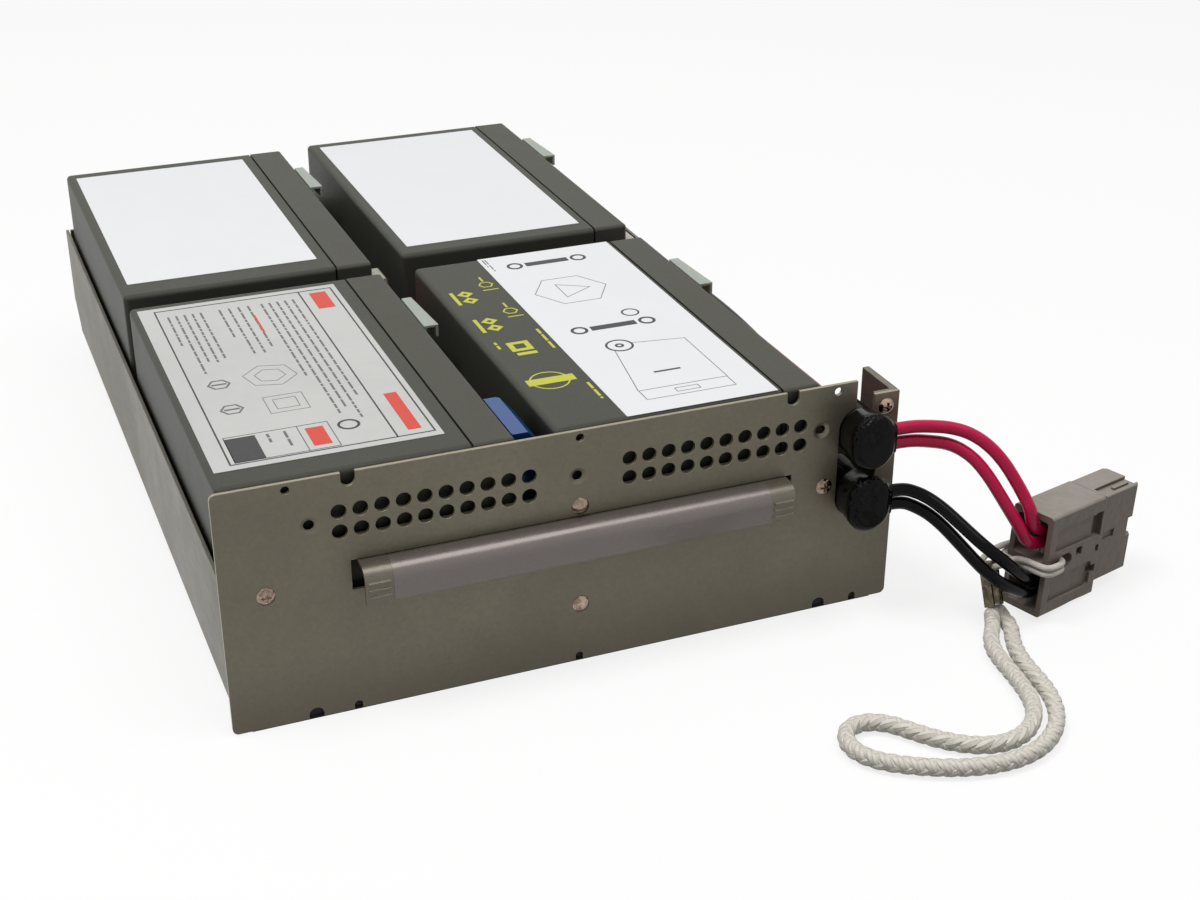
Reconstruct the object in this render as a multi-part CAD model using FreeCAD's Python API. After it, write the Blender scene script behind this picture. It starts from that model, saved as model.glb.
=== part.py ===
import FreeCAD, Part
import math
import os

# Replacement battery cartridge for a two-unit rack power supply. All sizes are in millimetres.
# +X runs to the right along the front panel, +Y runs from the panel to the back of the tray, +Z is up.
# The origin is at the middle of the object's foot: the panel's lower edge is at z = 0.

VEC = FreeCAD.Vector
X_AXIS = VEC(1, 0, 0)
Y_AXIS = VEC(0, 1, 0)
Z_AXIS = VEC(0, 0, 1)

# ---- driving dimensions: sheet metal ----
SHEET = 1.2                 # thickness of the panel, tray and brackets
PANEL_FRONT = -155.0        # front face of the panel, so that tray and boots lie about the origin
PANEL_RISE = 0.4            # how far the panel stands above the batteries
PANEL_CORNER = 2.0
LIP_DROP = 11.6             # how far the panel hangs below the tray's underside
WALL_HEIGHT = 45.1          # side walls above the tray's underside
BEND = 2.0                  # outer radius of every fold
TOUCH = 0.001               # how closely a place is matched
CLEAR = 1.0                 # how far a cutting shape reaches past what it cuts
CORNER_RELIEF = 0.6         # open slit where two folded walls meet
WALL_CHAMFER = 12.0         # cut-away lower rear corner of the side walls
FRONT_WALL_HEIGHT = 26.0    # middle of the tray's front wall, below the handle
FRONT_WALL_SIDE = 6.0       # from a panel screw to the lowered middle of that wall
EAR_LENGTH = 21.0           # raised front end of the right wall

# ---- driving dimensions: panel openings ----
VENT_RADIUS = 2.5
VENT_PITCH = 6.8
VENT_ROW_GAP = 6.85
VENT_TOP_DROP = 12.9        # heights are measured down from the panel's upper edge
VENT_COUNT = 10
VENT_FIRST_X = (-77.5, 17.8)
SCREW_HOLE_DROP = 15.9
SCREW_HOLE_SPACING = 86.8
SCREW_HOLE_RADIUS = 1.7
SINK_RADIUS = 2.9
SINK_DEPTH = 0.7
SLOT_LENGTH = 151.2
SLOT_HEIGHT = 10.6
SLOT_TOP_DROP = 30.3
SLOT_X = 0.8
SMALL_HOLE_RADIUS = 1.4
SMALL_HOLE_DROP = 2.5       # centre of the small holes below the panel's upper edge
SMALL_HOLE_INSET = (22.55, 23.35)   # from the panel's left and right ends
TOP_NOTCH_WIDTH = 4.6
TOP_NOTCH_DEPTH = 4.7
TOP_NOTCH_X = (-74.0, 75.8)
FOOT_NOTCH_WIDTH = 4.8
FOOT_NOTCH_DEPTH = 3.6
FOOT_NOTCH_INSET = (26.75, 26.25)
FOOT_HOLE_WIDTH = 2.8
FOOT_HOLE_DEPTH = 2.9
FOOT_HOLE_LEFT_X = -75.3
FOOT_HOLE_MIDDLE_X = 0.2
FOOT_HOLE_INSET = 12.95

# ---- driving dimensions: cable boots in the panel's open notch ----
BOOT_INSET = 14.75          # from the panel's right edge to where they pass through it
BOOT_DROP = (18.6, 41.5)
BOOT_RADIUS = 7.1           # rounded ends of the oval section
BOOT_TALL = 2.8             # straight flanks between the rounded ends
BOOT_FLARE = 1.1            # how much the radius grows towards the front
BOOT_STRETCH = 1.8          # how much the straight flanks grow
BOOT_LEAN = (-2.0, 2.4)     # sideways and upward shift of the front
BOOT_REACH = 15.0           # in front of the panel
BOOT_TAIL_GAP = 0.2         # between their rear ends and the nearest receptacles
BOOT_ROUND = 2.6
BOOT_GAP = 0.3
OUTLET_INSET = 7.15         # flat end of the side outlet, where the wires come out
OUTLET_FRONT = 9.8          # the outlet's middle in front of the panel
OUTLET_WALL = 0.9
RED_WIRE_RISE = (3.7, -1.4)     # upper and lower wire above their boot's middle
BLACK_WIRE_RISE = (3.5, -1.5)
RED_WIRE_RUN = (6.0, 6.0)       # straight run out of the boot
BLACK_WIRE_RUN = (5.2, 5.0)
LEAD_SPREAD = 2.6               # inner leads to both sides of their boot's middle
NOTCH_LEFT_INSET = 16.15
NOTCH_RIGHT_INSET = 9.35
STRIP_DROP = 6.0            # upper end of the panel's strip to the right of the notch

# ---- driving dimensions: handle ----
HANDLE_LENGTH = 147.0
HANDLE_SHEET = 1.2
HANDLE_REACH = 8.2          # front of the lip before the panel's face
HANDLE_DROP = 12.0          # height of the lip
HANDLE_ROUND = 5.0
HANDLE_FLANGE = 8.0         # fixing flange above the slot, behind the panel
SLIDE_GAP = 0.3             # play between parts that pass each other
LABEL_SKIN = 0.15
HANDLE_LABEL_LENGTH = 129.0
RIB_COUNT = 3
RIB_LENGTH = 7.0
RIB_HEIGHT = 0.5
RIB_ROUND = 0.4

# ---- driving dimensions: fasteners ----
RIVET_HEAD_RADIUS = 3.0
RIVET_HEAD_HEIGHT = 1.3
RIVET_SHANK_RADIUS = 1.6
RIVET_RISE = (3.5, 9.8)     # above the handle's slot, and above the tray's underside
RIVET_TAIL = 0.3
PANEL_SCREW_INSET = (14.05, 26.75)
PANEL_SCREW_DROP = 9.4      # below the top of the tray's walls
BRACKET_SCREW_DROP = 5.2    # below the upper end of the panel's strip
SCREW_TAIL = 1.5
RECESS_ARM = 1.7            # cross recess of the screws
RECESS_HALF = 0.45
RECESS_DEPTH = 0.87
BRACKET_ROUND = 0.96

# ---- driving dimensions: batteries, lying on their broad side with the lid to the right ----
CELL_LENGTH = 151.0
CELL_WIDTH = 94.0
CELL_HEIGHT = 65.0
CELL_ROUND = 1.8
LID_ROUND = 1.3
LID_WIDTH = 13.6
LID_GROOVE = 0.8
LID_GROOVE_DEPTH = 1.0
FOAM = 6.4
SIDE_PLAY = 1.2                 # left wall to the batteries
COLUMN_GAP = 13.0               # between the two columns of batteries
CABLE_SPACE = 28.1              # right lids to the panel's right edge
FRONT_ROW_GAP = 3.4             # panel's front face to the front batteries
ROW_GAP = (11.6, 14.6)          # front to rear battery in the left and the right column
BACK_PLAY = 3.8                 # rear battery of the right column to the back wall
TERMINAL_Y = 14.0
TERMINAL_INSET = 12.0           # terminal to the nearer broad side
TERMINAL_WELL = 13.0
TERMINAL_WELL_DEPTH = 2.4
TAB_WIDTH = 6.35
TAB_THICKNESS = 0.8
TAB_REACH = 5.2
VENT_COVER_LENGTH = 84.0
VENT_COVER_WIDTH = 36.0
VENT_COVER_DEPTH = 1.2
CELL_CAPS = 6
SLEEVE_LENGTH = 12.0
SLEEVE_WIDTH = 8.0
SLEEVE_THICKNESS = 4.8
SLEEVE_REACH = 6.8
SLEEVE_LIFT = 0.6
SLEEVE_ROUND = 1.0
TAB_TIP = 1.2

# ---- driving dimensions: battery labels, from the case's left, front, right (lid) and back edges ----
LABELS = {
    "front_left": (2.2, 11.0, 5.9, 4.5),
    "front_right": (25.0, 0.9, 1.8, 0.9),
    "rear_left": (3.4, 11.6, 5.0, 7.0),
    "rear_right": (4.4, 8.4, 3.8, 6.4),
}
LABEL_CORNER = 0.4
FOAM_INSET = 5.2

# ---- driving dimensions: wire guides on the lids and the blue terminal cover ----
GUIDE_START = 95.5
GUIDE_LENGTH = 28.0
GUIDE_WIDE = 5.2
GUIDE_NARROW = 3.6
GUIDE_SKIN = 0.9
GUIDE_LEG = 12.0
GUIDE_FLANGE = 4.6
COVER_START = 3.2
COVER_LENGTH = 28.0
COVER_WIDTH = 8.4
COVER_HEIGHT = 21.0
COVER_SKIN = 1.0
COVER_TOP_CHAMFER = 3.2
COVER_END_CHAMFER = 4.2
COVER_EXIT_WIDTH = 6.4      # open lower half of the rear end, for the wire

# ---- driving dimensions: power connector, built along +X from its rear face ----
PLUG_LENGTH = 50.0
PLUG_WIDTH = 38.0           # across the two poles, upright here
PLUG_THICKNESS = 16.4
PLUG_BODY_LENGTH = 30.0     # the larger rear part
PLUG_STEP = 4.6             # the mating part is this much narrower, on its lower side
PLUG_MATE_INSET = 0.4       # the mating part is a little thinner on both sides
PLUG_ROUND = 1.2
PLUG_NOSE = 1.6             # bevel of the mating part's free end
PLUG_WALL = 2.0
PLUG_PITCH = 18.0           # pole to pole
PLUG_REAR_POCKET = 22.0
PLUG_FRONT_POCKET = 22.0
PLUG_WEB = 3.0
PLUG_SLOT_DEPTH = 4.0
PLUG_SLOT_LOW = -1.2
PLUG_SLOT_HEIGHT = 7.2
PLUG_HOLE_RADIUS = 3.0
PLUG_HOLE_FROM_REAR = 8.5
PLUG_HOLE_TRAVEL = 2.4      # the hole is oblong by this much
CHEEK_DEPTH = 1.1           # shallow recesses of both broad sides
CHEEK_START = 3.4
CHEEK_END_GAP = 3.6
CHEEK_ROUND = 1.6
CHEEK_UPPER = (4.6, 13.6)
CHEEK_LOWER = (-14.4, -4.6)
CATCH_DEPTH = 2.4           # deeper pockets, before the step of both broad sides
CATCH_LENGTH = 4.0
CATCH_GAP = 1.0
CATCH_UPPER = (4.6, 13.9)
CATCH_LOWER = (-9.6, -6.6)
WINDOW_SIZE = 3.2           # square opening before the middle hole
WINDOW_X = 17.7
WINDOW_Z = 1.7
PEEP_LENGTH = 1.8           # small upright opening just before the step
PEEP_HEIGHT = 2.8
PEEP_X = 28.4
PEEP_Z = -0.4
OPENING_DEPTH = 2.4
RELIEF_DEPTH = 0.8          # shallow pocket of the mating part, just past the step
RELIEF_START = 1.5
RELIEF_LENGTH = 6.5
RELIEF_SPAN = (1.2, 4.4)
GROOVE_WIDTH = 0.9          # across the upper narrow side, at the step
GROOVE_DEPTH = 1.2
KEYWAY_LOW_Y = -6.5         # open channel along the mating part's upper narrow side
KEYWAY_HIGH_Y = -1.3
KEYWAY_DEPTH = 1.2
KEYWAY_START = 1.6
KEY_WIDTH = 1.3
KEY_START = 9.0
KEY_END_GAP = 2.6
KEY_HEIGHT = 0.8
FOOT_HOLLOW_DEPTH = 0.9     # shallow hollow of the lower narrow side
FOOT_HOLLOW_LENGTH = 18.0
FOOT_HOLLOW_X = 19.0
PLUG_RIGHT = 36.9           # its place, from the panel's right edge and front face
PLUG_FRONT = 30.4
PLUG_Z = 21.1
PLUG_YAW = 18.4
PLUG_TILT = 3.2
CONTACT_BARREL_RADIUS = 5.2
CONTACT_BARREL_LENGTH = 11.0
CONTACT_BARREL_START = 9.3
CONTACT_BARREL_ROUND = 0.6
CONTACT_OVERLAP = 1.0       # the tongue starts this far inside the barrel
CONTACT_TONGUE_WIDTH = 8.0
CONTACT_TONGUE_THICKNESS = 2.0
CONTACT_TIP_ROUND = 0.8
SPRING_THICKNESS = 0.5
SPRING_SIDE = 1.0           # narrower than the tongue on each side
SPRING_RISE = -0.9          # how far its middle arches down

# ---- driving dimensions: cords ----
WIRE_DIAMETER = 4.4
LEAD_DIAMETER = 4.0
ROPE_DIAMETER = 5.8
TIE_DIAMETER = 2.2
CLIP_WIDTH = 3.6
CLIP_THICKNESS = 1.0
CLIP_SPACING = 6.0

# ---- places worked out from the sizes above ----
PANEL_WIDTH = SHEET + SIDE_PLAY + 2 * CELL_WIDTH + COLUMN_GAP + CABLE_SPACE
HALF_WIDTH = PANEL_WIDTH / 2
PANEL_BACK = PANEL_FRONT + SHEET
TRAY_DEPTH = FRONT_ROW_GAP + 2 * CELL_LENGTH + max(ROW_GAP) + BACK_PLAY + SHEET
TRAY_BACK = PANEL_FRONT + TRAY_DEPTH
FLOOR_TOP = LIP_DROP + SHEET
WALL_TOP = LIP_DROP + WALL_HEIGHT
CELL_BOTTOM = FLOOR_TOP + FOAM
CELL_TOP = CELL_BOTTOM + CELL_HEIGHT
PANEL_HEIGHT = CELL_TOP + PANEL_RISE
STRIP_TOP = PANEL_HEIGHT - STRIP_DROP
SLOT_TOP = PANEL_HEIGHT - SLOT_TOP_DROP
NOTCH_LEFT = HALF_WIDTH - NOTCH_LEFT_INSET
NOTCH_RIGHT = HALF_WIDTH - NOTCH_RIGHT_INSET
BOOT_X = HALF_WIDTH - BOOT_INSET
BOOT_Z = (PANEL_HEIGHT - BOOT_DROP[0], PANEL_HEIGHT - BOOT_DROP[1])
BOOT_BACK = PANEL_FRONT + FRONT_ROW_GAP + TERMINAL_Y - SLEEVE_WIDTH / 2 - BOOT_TAIL_GAP
OUTLET_X = HALF_WIDTH - OUTLET_INSET
OUTLET_Y = PANEL_FRONT - OUTLET_FRONT
PANEL_SCREW_X = (PANEL_SCREW_INSET[0] - HALF_WIDTH, HALF_WIDTH - PANEL_SCREW_INSET[1])
PANEL_SCREW_Z = WALL_TOP - PANEL_SCREW_DROP
RIVET_Z = (SLOT_TOP + RIVET_RISE[0], LIP_DROP + RIVET_RISE[1])
BRACKET_SCREW = ((NOTCH_RIGHT + HALF_WIDTH) / 2, STRIP_TOP - BRACKET_SCREW_DROP)
TERMINAL_Z = (CELL_BOTTOM + TERMINAL_INSET, CELL_TOP - TERMINAL_INSET)
COLUMN_LEFT = SHEET + SIDE_PLAY - HALF_WIDTH
COLUMN_RIGHT = COLUMN_LEFT + CELL_WIDTH + COLUMN_GAP
LID_LEFT = COLUMN_LEFT + CELL_WIDTH
LID_RIGHT = COLUMN_RIGHT + CELL_WIDTH
FRONT_ROW = PANEL_FRONT + FRONT_ROW_GAP
ROW_END = FRONT_ROW + CELL_LENGTH
BATTERIES = {
    "front_left": (COLUMN_LEFT, FRONT_ROW, 1),
    "front_right": (COLUMN_RIGHT, FRONT_ROW, 1),
    "rear_left": (COLUMN_LEFT, ROW_END + ROW_GAP[0], -1),
    "rear_right": (COLUMN_RIGHT, ROW_END + ROW_GAP[1], -1),
}


# ---- small helpers ----
def box(low, high):
    """Block between two corners."""
    size = [b - a for a, b in zip(low, high)]
    return Part.makeBox(*size, VEC(*low))


def rod(radius, start, end):
    """Round bar from one point to another."""
    axis = VEC(*end) - VEC(*start)
    return Part.makeCylinder(radius, axis.Length, VEC(*start), axis)


def edges_along(shape, axis, where=lambda c: True):
    """Straight edges parallel to an axis whose middle passes a test."""
    found = []
    for edge in shape.Edges:
        if not isinstance(edge.Curve, Part.Line):
            continue
        way = edge.tangentAt(edge.FirstParameter)
        if abs(abs(way.dot(axis)) - 1) < 1e-6 and where(edge.CenterOfMass):
            found.append(edge)
    return found


def profile(points, along, depth):
    """Prism of a closed outline: the points, moved by depth along an axis."""
    outline = [VEC(*p) for p in points]
    outline.append(outline[0])
    return Part.Face(Part.makePolygon(outline)).extrude(along * depth)


def across_panel(x0, z0, x1, z1):
    """Block through the front panel between two corners of its face."""
    return box((x0, PANEL_FRONT - SHEET, z0), (x1, PANEL_BACK + SHEET, z1))


def keyed(x, bottom, top, width):
    """Round-ended slot through the front panel, centred on x."""
    half = width / 2
    start, end = PANEL_FRONT - SHEET, PANEL_BACK + SHEET
    body = box((x - half, start, bottom + half), (x + half, end, top - half))
    for z in (bottom + half, top - half):
        body = body.fuse(rod(half, (x, start, z), (x, end, z)))
    return body


def hole(x, z, radius):
    """Drill through the front panel and what lies just behind it."""
    return rod(radius, (x, PANEL_FRONT - SHEET, z), (x, PANEL_BACK + 2 * SHEET, z))


def rounded_route(points):
    """Straight runs joined by tangent arcs, as large as the two runs of each corner allow."""
    corners = [VEC(*p) for p in points]
    edges = []
    radii = []
    last = corners[0]
    for before, here, after in zip(corners, corners[1:], corners[2:]):
        inward = here - before
        outward = after - here
        shorter = min(inward.Length, outward.Length)
        inward.normalize()
        outward.normalize()
        half_turn = inward.getAngle(outward) / 2
        cut = 0.45 * shorter
        radii.append(cut / math.tan(half_turn))
        start = here - inward * cut
        end = here + outward * cut
        sideways = outward - inward
        sideways.normalize()
        middle = here + sideways * (radii[-1] / math.cos(half_turn) - radii[-1])
        edges.append(Part.LineSegment(last, start).toShape())
        edges.append(Part.Arc(start, middle, end).toShape())
        last = end
    edges.append(Part.LineSegment(last, corners[-1]).toShape())
    return Part.Wire(edges), radii


def tube(name, points, diameter):
    """Round cord along a route of points; prints its length, its bends and its lowest point."""
    route, radii = rounded_route(points)
    first = route.Edges[0]
    section = Part.Circle(first.Vertexes[0].Point, first.tangentAt(first.FirstParameter), diameter / 2)
    cord = route.makePipeShell([Part.Wire(section.toShape())], True, False)
    ideal = math.pi * diameter ** 2 / 4 * route.Length
    print(f"{name}: {route.Length:.1f} long, volume {cord.Volume / ideal:.4f} of ideal, lowest z "
          f"{cord.BoundBox.ZMin:.2f}, radii {[round(r, 1) for r in radii]}")
    return cord


# ---- tray ----
def make_tray():
    """Folded sheet tray: floor, two side walls, a back wall and a low front wall."""
    front = PANEL_BACK
    top = STRIP_TOP + SHEET
    outer = box((-HALF_WIDTH, front, LIP_DROP), (HALF_WIDTH, TRAY_BACK, STRIP_TOP))
    outer_folds = edges_along(outer, Y_AXIS, lambda c: c.z < FLOOR_TOP)
    outer_folds += edges_along(outer, X_AXIS, lambda c: c.z < FLOOR_TOP)
    outer = outer.makeFillet(BEND, outer_folds)
    inner = box((-HALF_WIDTH + SHEET, front + SHEET, FLOOR_TOP),
                (HALF_WIDTH - SHEET, TRAY_BACK - SHEET, top))
    inner_folds = edges_along(inner, Y_AXIS, lambda c: c.z < WALL_TOP - BEND)
    inner_folds += edges_along(inner, X_AXIS, lambda c: c.z < WALL_TOP - BEND)
    inner = inner.makeFillet(BEND - SHEET, inner_folds)
    tray = outer.cut(inner)
    above = box((-HALF_WIDTH - SHEET, front - SHEET, WALL_TOP), (HALF_WIDTH + SHEET, TRAY_BACK + SHEET, top))
    ear = box((HALF_WIDTH - SHEET - BOOT_GAP, front - SHEET, WALL_TOP - SHEET),
              (HALF_WIDTH + SHEET, PANEL_FRONT + EAR_LENGTH, top))
    tray = tray.cut(above.cut(ear))
    lowered = box((PANEL_SCREW_X[0] + FRONT_WALL_SIDE, front - SHEET, LIP_DROP + FRONT_WALL_HEIGHT),
                  (PANEL_SCREW_X[1] - FRONT_WALL_SIDE, front + SHEET, WALL_TOP + SHEET))
    passage_low = BOOT_Z[1] - BOOT_TALL / 2 - BOOT_RADIUS - SHEET
    passage = box((BOOT_X - BOOT_RADIUS - BOOT_GAP, front - SHEET, passage_low),
                  (HALF_WIDTH - SHEET, front + SHEET, top))
    tray = tray.cut([lowered, passage])
    slits = []
    for side in (-1, 1):
        for y in (front, TRAY_BACK - SHEET):
            x = side * (HALF_WIDTH - SHEET)
            near, far = sorted((x, x - side * CORNER_RELIEF))
            slits.append(box((near, y - SHEET, FLOOR_TOP + BEND), (far, y + 2 * SHEET, top)))
    x = -HALF_WIDTH - SHEET
    corner = [(x, TRAY_BACK + SHEET, LIP_DROP - SHEET),
              (x, TRAY_BACK + SHEET, LIP_DROP + WALL_CHAMFER),
              (x, TRAY_BACK - SHEET - CORNER_RELIEF, LIP_DROP + WALL_CHAMFER),
              (x, TRAY_BACK - WALL_CHAMFER, FLOOR_TOP + BEND),
              (x, TRAY_BACK - WALL_CHAMFER, LIP_DROP - SHEET)]
    left_cut = profile(corner, X_AXIS, 2 * SHEET)
    right_cut = left_cut.copy()
    right_cut.translate(VEC(PANEL_WIDTH, 0, 0))
    holes = [hole(x, PANEL_SCREW_Z, RIVET_SHANK_RADIUS) for x in PANEL_SCREW_X]
    holes.append(hole(SLOT_X, RIVET_Z[1], RIVET_SHANK_RADIUS))
    return tray.cut(slits + [left_cut, right_cut] + holes)


# ---- front panel ----
def panel_openings():
    """Vents, screw holes, handle slot and the small holes of the panel."""
    cuts = []
    vent_z = PANEL_HEIGHT - VENT_TOP_DROP
    for first in VENT_FIRST_X:
        for row in range(2):
            for i in range(VENT_COUNT):
                cuts.append(hole(first + i * VENT_PITCH, vent_z - row * VENT_ROW_GAP, VENT_RADIUS))
    z = PANEL_HEIGHT - SCREW_HOLE_DROP
    for i in (-1, 0, 1):
        x = i * SCREW_HOLE_SPACING
        cuts.append(hole(x, z, SCREW_HOLE_RADIUS))
        sink = Part.makeCone(SINK_RADIUS, SCREW_HOLE_RADIUS, SINK_DEPTH, VEC(x, PANEL_FRONT, z), Y_AXIS)
        cuts.append(sink)
    half_slot = SLOT_LENGTH / 2
    cuts.append(across_panel(SLOT_X - half_slot, SLOT_TOP - SLOT_HEIGHT, SLOT_X + half_slot, SLOT_TOP))
    for x in (SMALL_HOLE_INSET[0] - HALF_WIDTH, SLOT_X, HALF_WIDTH - SMALL_HOLE_INSET[1]):
        cuts.append(hole(x, PANEL_HEIGHT - SMALL_HOLE_DROP, SMALL_HOLE_RADIUS))
    for x in PANEL_SCREW_X:
        cuts.append(hole(x, PANEL_SCREW_Z, RIVET_SHANK_RADIUS))
    for z in RIVET_Z:
        cuts.append(hole(SLOT_X, z, RIVET_SHANK_RADIUS))
    cuts.append(hole(*BRACKET_SCREW, RIVET_SHANK_RADIUS))
    return cuts


def panel_notches():
    """Round-ended notches of the upper and lower edges and the open notch of the boots."""
    cuts = []
    for x in TOP_NOTCH_X:
        cuts.append(keyed(x, PANEL_HEIGHT - TOP_NOTCH_DEPTH, PANEL_HEIGHT + TOP_NOTCH_WIDTH, TOP_NOTCH_WIDTH))
    for x in (FOOT_NOTCH_INSET[0] - HALF_WIDTH, HALF_WIDTH - FOOT_NOTCH_INSET[1]):
        cuts.append(keyed(x, -FOOT_NOTCH_WIDTH, FOOT_NOTCH_DEPTH, FOOT_NOTCH_WIDTH))
    for x in (FOOT_HOLE_LEFT_X, FOOT_HOLE_MIDDLE_X, HALF_WIDTH - FOOT_HOLE_INSET):
        cuts.append(keyed(x, -FOOT_HOLE_WIDTH, FOOT_HOLE_DEPTH, FOOT_HOLE_WIDTH))
    seat = BOOT_RADIUS + BOOT_GAP
    high = BOOT_TALL / 2 + seat
    cuts.append(keyed(BOOT_X, BOOT_Z[1] - high, BOOT_Z[0] + high, 2 * seat))
    cuts.append(across_panel(NOTCH_LEFT, BOOT_Z[0], NOTCH_RIGHT, PANEL_HEIGHT + SHEET))
    cuts.append(across_panel(NOTCH_RIGHT - SHEET, STRIP_TOP, HALF_WIDTH + SHEET, PANEL_HEIGHT + SHEET))
    return cuts


def make_front_panel():
    """Flat stamped panel with two vent groups, the handle slot, screw holes and edge notches."""
    plate = box((-HALF_WIDTH, PANEL_FRONT, 0), (HALF_WIDTH, PANEL_BACK, PANEL_HEIGHT))
    plate = plate.makeFillet(PANEL_CORNER, edges_along(plate, Y_AXIS))
    return plate.cut(panel_openings() + panel_notches())


# ---- handle ----
def handle_outline(skin_in, skin_out):
    """Section of the handle's lip between two offsets from its front surface, at x = 0."""
    front = PANEL_FRONT - HANDLE_REACH
    top = SLOT_TOP - SLIDE_GAP
    foot = top - HANDLE_DROP
    centre = VEC(0, front + HANDLE_ROUND, top - HANDLE_ROUND)

    def arc(offset):
        radius = HANDLE_ROUND - offset
        slant = radius * math.sqrt(0.5)
        high = centre + VEC(0, 0, radius)
        low = centre + VEC(0, -radius, 0)
        return high, centre + VEC(0, -slant, slant), low

    outer = arc(skin_in)
    inner = arc(skin_out)
    return outer, inner, foot


def make_handle():
    """Bent strip: a fixing flange behind the panel, a run through the slot and a rounded hanging lip."""
    outer, inner, foot = handle_outline(0, HANDLE_SHEET)
    back = PANEL_BACK + HANDLE_SHEET
    top_back = VEC(0, back, outer[0].z)
    flange_top = SLOT_TOP + HANDLE_FLANGE
    points = [VEC(0, PANEL_BACK, outer[0].z), VEC(0, PANEL_BACK, flange_top), VEC(0, back, flange_top),
              top_back - VEC(0, 0, HANDLE_SHEET), inner[0]]
    edges = [Part.LineSegment(a, b).toShape() for a, b in zip(points, points[1:])]
    edges.append(Part.Arc(*inner).toShape())
    low_in = VEC(0, inner[2].y, foot)
    low_out = VEC(0, outer[2].y, foot)
    edges.append(Part.LineSegment(inner[2], low_in).toShape())
    edges.append(Part.LineSegment(low_in, low_out).toShape())
    edges.append(Part.LineSegment(low_out, outer[2]).toShape())
    edges.append(Part.Arc(*reversed(outer)).toShape())
    edges.append(Part.LineSegment(outer[0], points[0]).toShape())
    strip = Part.Face(Part.Wire(edges)).extrude(X_AXIS * HANDLE_LENGTH)
    strip.translate(VEC(SLOT_X - HANDLE_LENGTH / 2, 0, 0))
    end_plain = (HANDLE_LENGTH - HANDLE_LABEL_LENGTH) / 2
    ribs = []
    for side in (-1, 1):
        middle = SLOT_X + side * (HANDLE_LENGTH - end_plain) / 2
        for i in range(RIB_COUNT):
            z = foot + HANDLE_SHEET + (i + 0.5) * 2 * HANDLE_SHEET
            rib = box((middle - RIB_LENGTH / 2, low_out.y - RIB_HEIGHT, z - RIB_HEIGHT),
                      (middle + RIB_LENGTH / 2, low_out.y, z + RIB_HEIGHT))
            ridge = edges_along(rib, X_AXIS, lambda c: c.y < low_out.y - RIB_HEIGHT / 2)
            ribs.append(rib.makeFillet(RIB_ROUND, ridge))
    return strip.fuse(ribs).cut(hole(SLOT_X, RIVET_Z[0], RIVET_SHANK_RADIUS))


def make_handle_label():
    """Foil strip stuck round the lip's rounded front, between its ribbed ends."""
    outer, inner, foot = handle_outline(-LABEL_SKIN, 0)
    start = VEC(0, PANEL_FRONT - HANDLE_SHEET, 0)
    margin = HANDLE_SHEET / 2
    path = [VEC(0, start.y, inner[0].z), inner[0]]
    edges = [Part.LineSegment(path[0], path[1]).toShape(), Part.Arc(*inner).toShape()]
    low_in = VEC(0, inner[2].y, foot + margin)
    low_out = VEC(0, outer[2].y, foot + margin)
    edges.append(Part.LineSegment(inner[2], low_in).toShape())
    edges.append(Part.LineSegment(low_in, low_out).toShape())
    edges.append(Part.LineSegment(low_out, outer[2]).toShape())
    edges.append(Part.Arc(*reversed(outer)).toShape())
    edges.append(Part.LineSegment(outer[0], VEC(0, start.y, outer[0].z)).toShape())
    edges.append(Part.LineSegment(VEC(0, start.y, outer[0].z), path[0]).toShape())
    label = Part.Face(Part.Wire(edges)).extrude(X_AXIS * HANDLE_LABEL_LENGTH)
    label.translate(VEC(SLOT_X - HANDLE_LABEL_LENGTH / 2, 0, 0))
    return label


# ---- fasteners ----
def fastener(x, z, grip, tail, slotted):
    """Domed head on the panel's face with a shank through the given thickness."""
    dome_radius = (RIVET_HEAD_RADIUS ** 2 + RIVET_HEAD_HEIGHT ** 2) / (2 * RIVET_HEAD_HEIGHT)
    centre = VEC(x, PANEL_FRONT - RIVET_HEAD_HEIGHT + dome_radius, z)
    dome = Part.makeSphere(dome_radius, centre)
    rim = rod(RIVET_HEAD_RADIUS, (x, PANEL_FRONT - 2 * RIVET_HEAD_HEIGHT, z), (x, PANEL_FRONT, z))
    head = dome.common(rim)
    shank = rod(RIVET_SHANK_RADIUS, (x, PANEL_FRONT, z), (x, PANEL_FRONT + grip + tail, z))
    piece = head.fuse(shank)
    if slotted:
        low = PANEL_FRONT - 2 * RIVET_HEAD_HEIGHT
        sink = PANEL_FRONT - RIVET_HEAD_HEIGHT + RECESS_DEPTH
        level = box((x - RECESS_ARM, low, z - RECESS_HALF), (x + RECESS_ARM, sink, z + RECESS_HALF))
        upright = box((x - RECESS_HALF, low, z - RECESS_ARM), (x + RECESS_HALF, sink, z + RECESS_ARM))
        piece = piece.cut([level, upright])
    return piece


def make_rivets():
    """Two rivets on the panel's middle line: one holds the handle, one holds the tray's front wall."""
    return Part.makeCompound([fastener(SLOT_X, z, 2 * SHEET, RIVET_TAIL, False) for z in RIVET_Z])


def make_panel_screws():
    """Two cross-recessed screws into the tray's front wall."""
    screws = [fastener(x, PANEL_SCREW_Z, 2 * SHEET, RIVET_TAIL, True) for x in PANEL_SCREW_X]
    return Part.makeCompound(screws)


def make_bracket_screw():
    """Cross-recessed screw that holds the panel's right strip to the corner bracket."""
    return fastener(*BRACKET_SCREW, 2 * SHEET, SCREW_TAIL, True)


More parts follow.
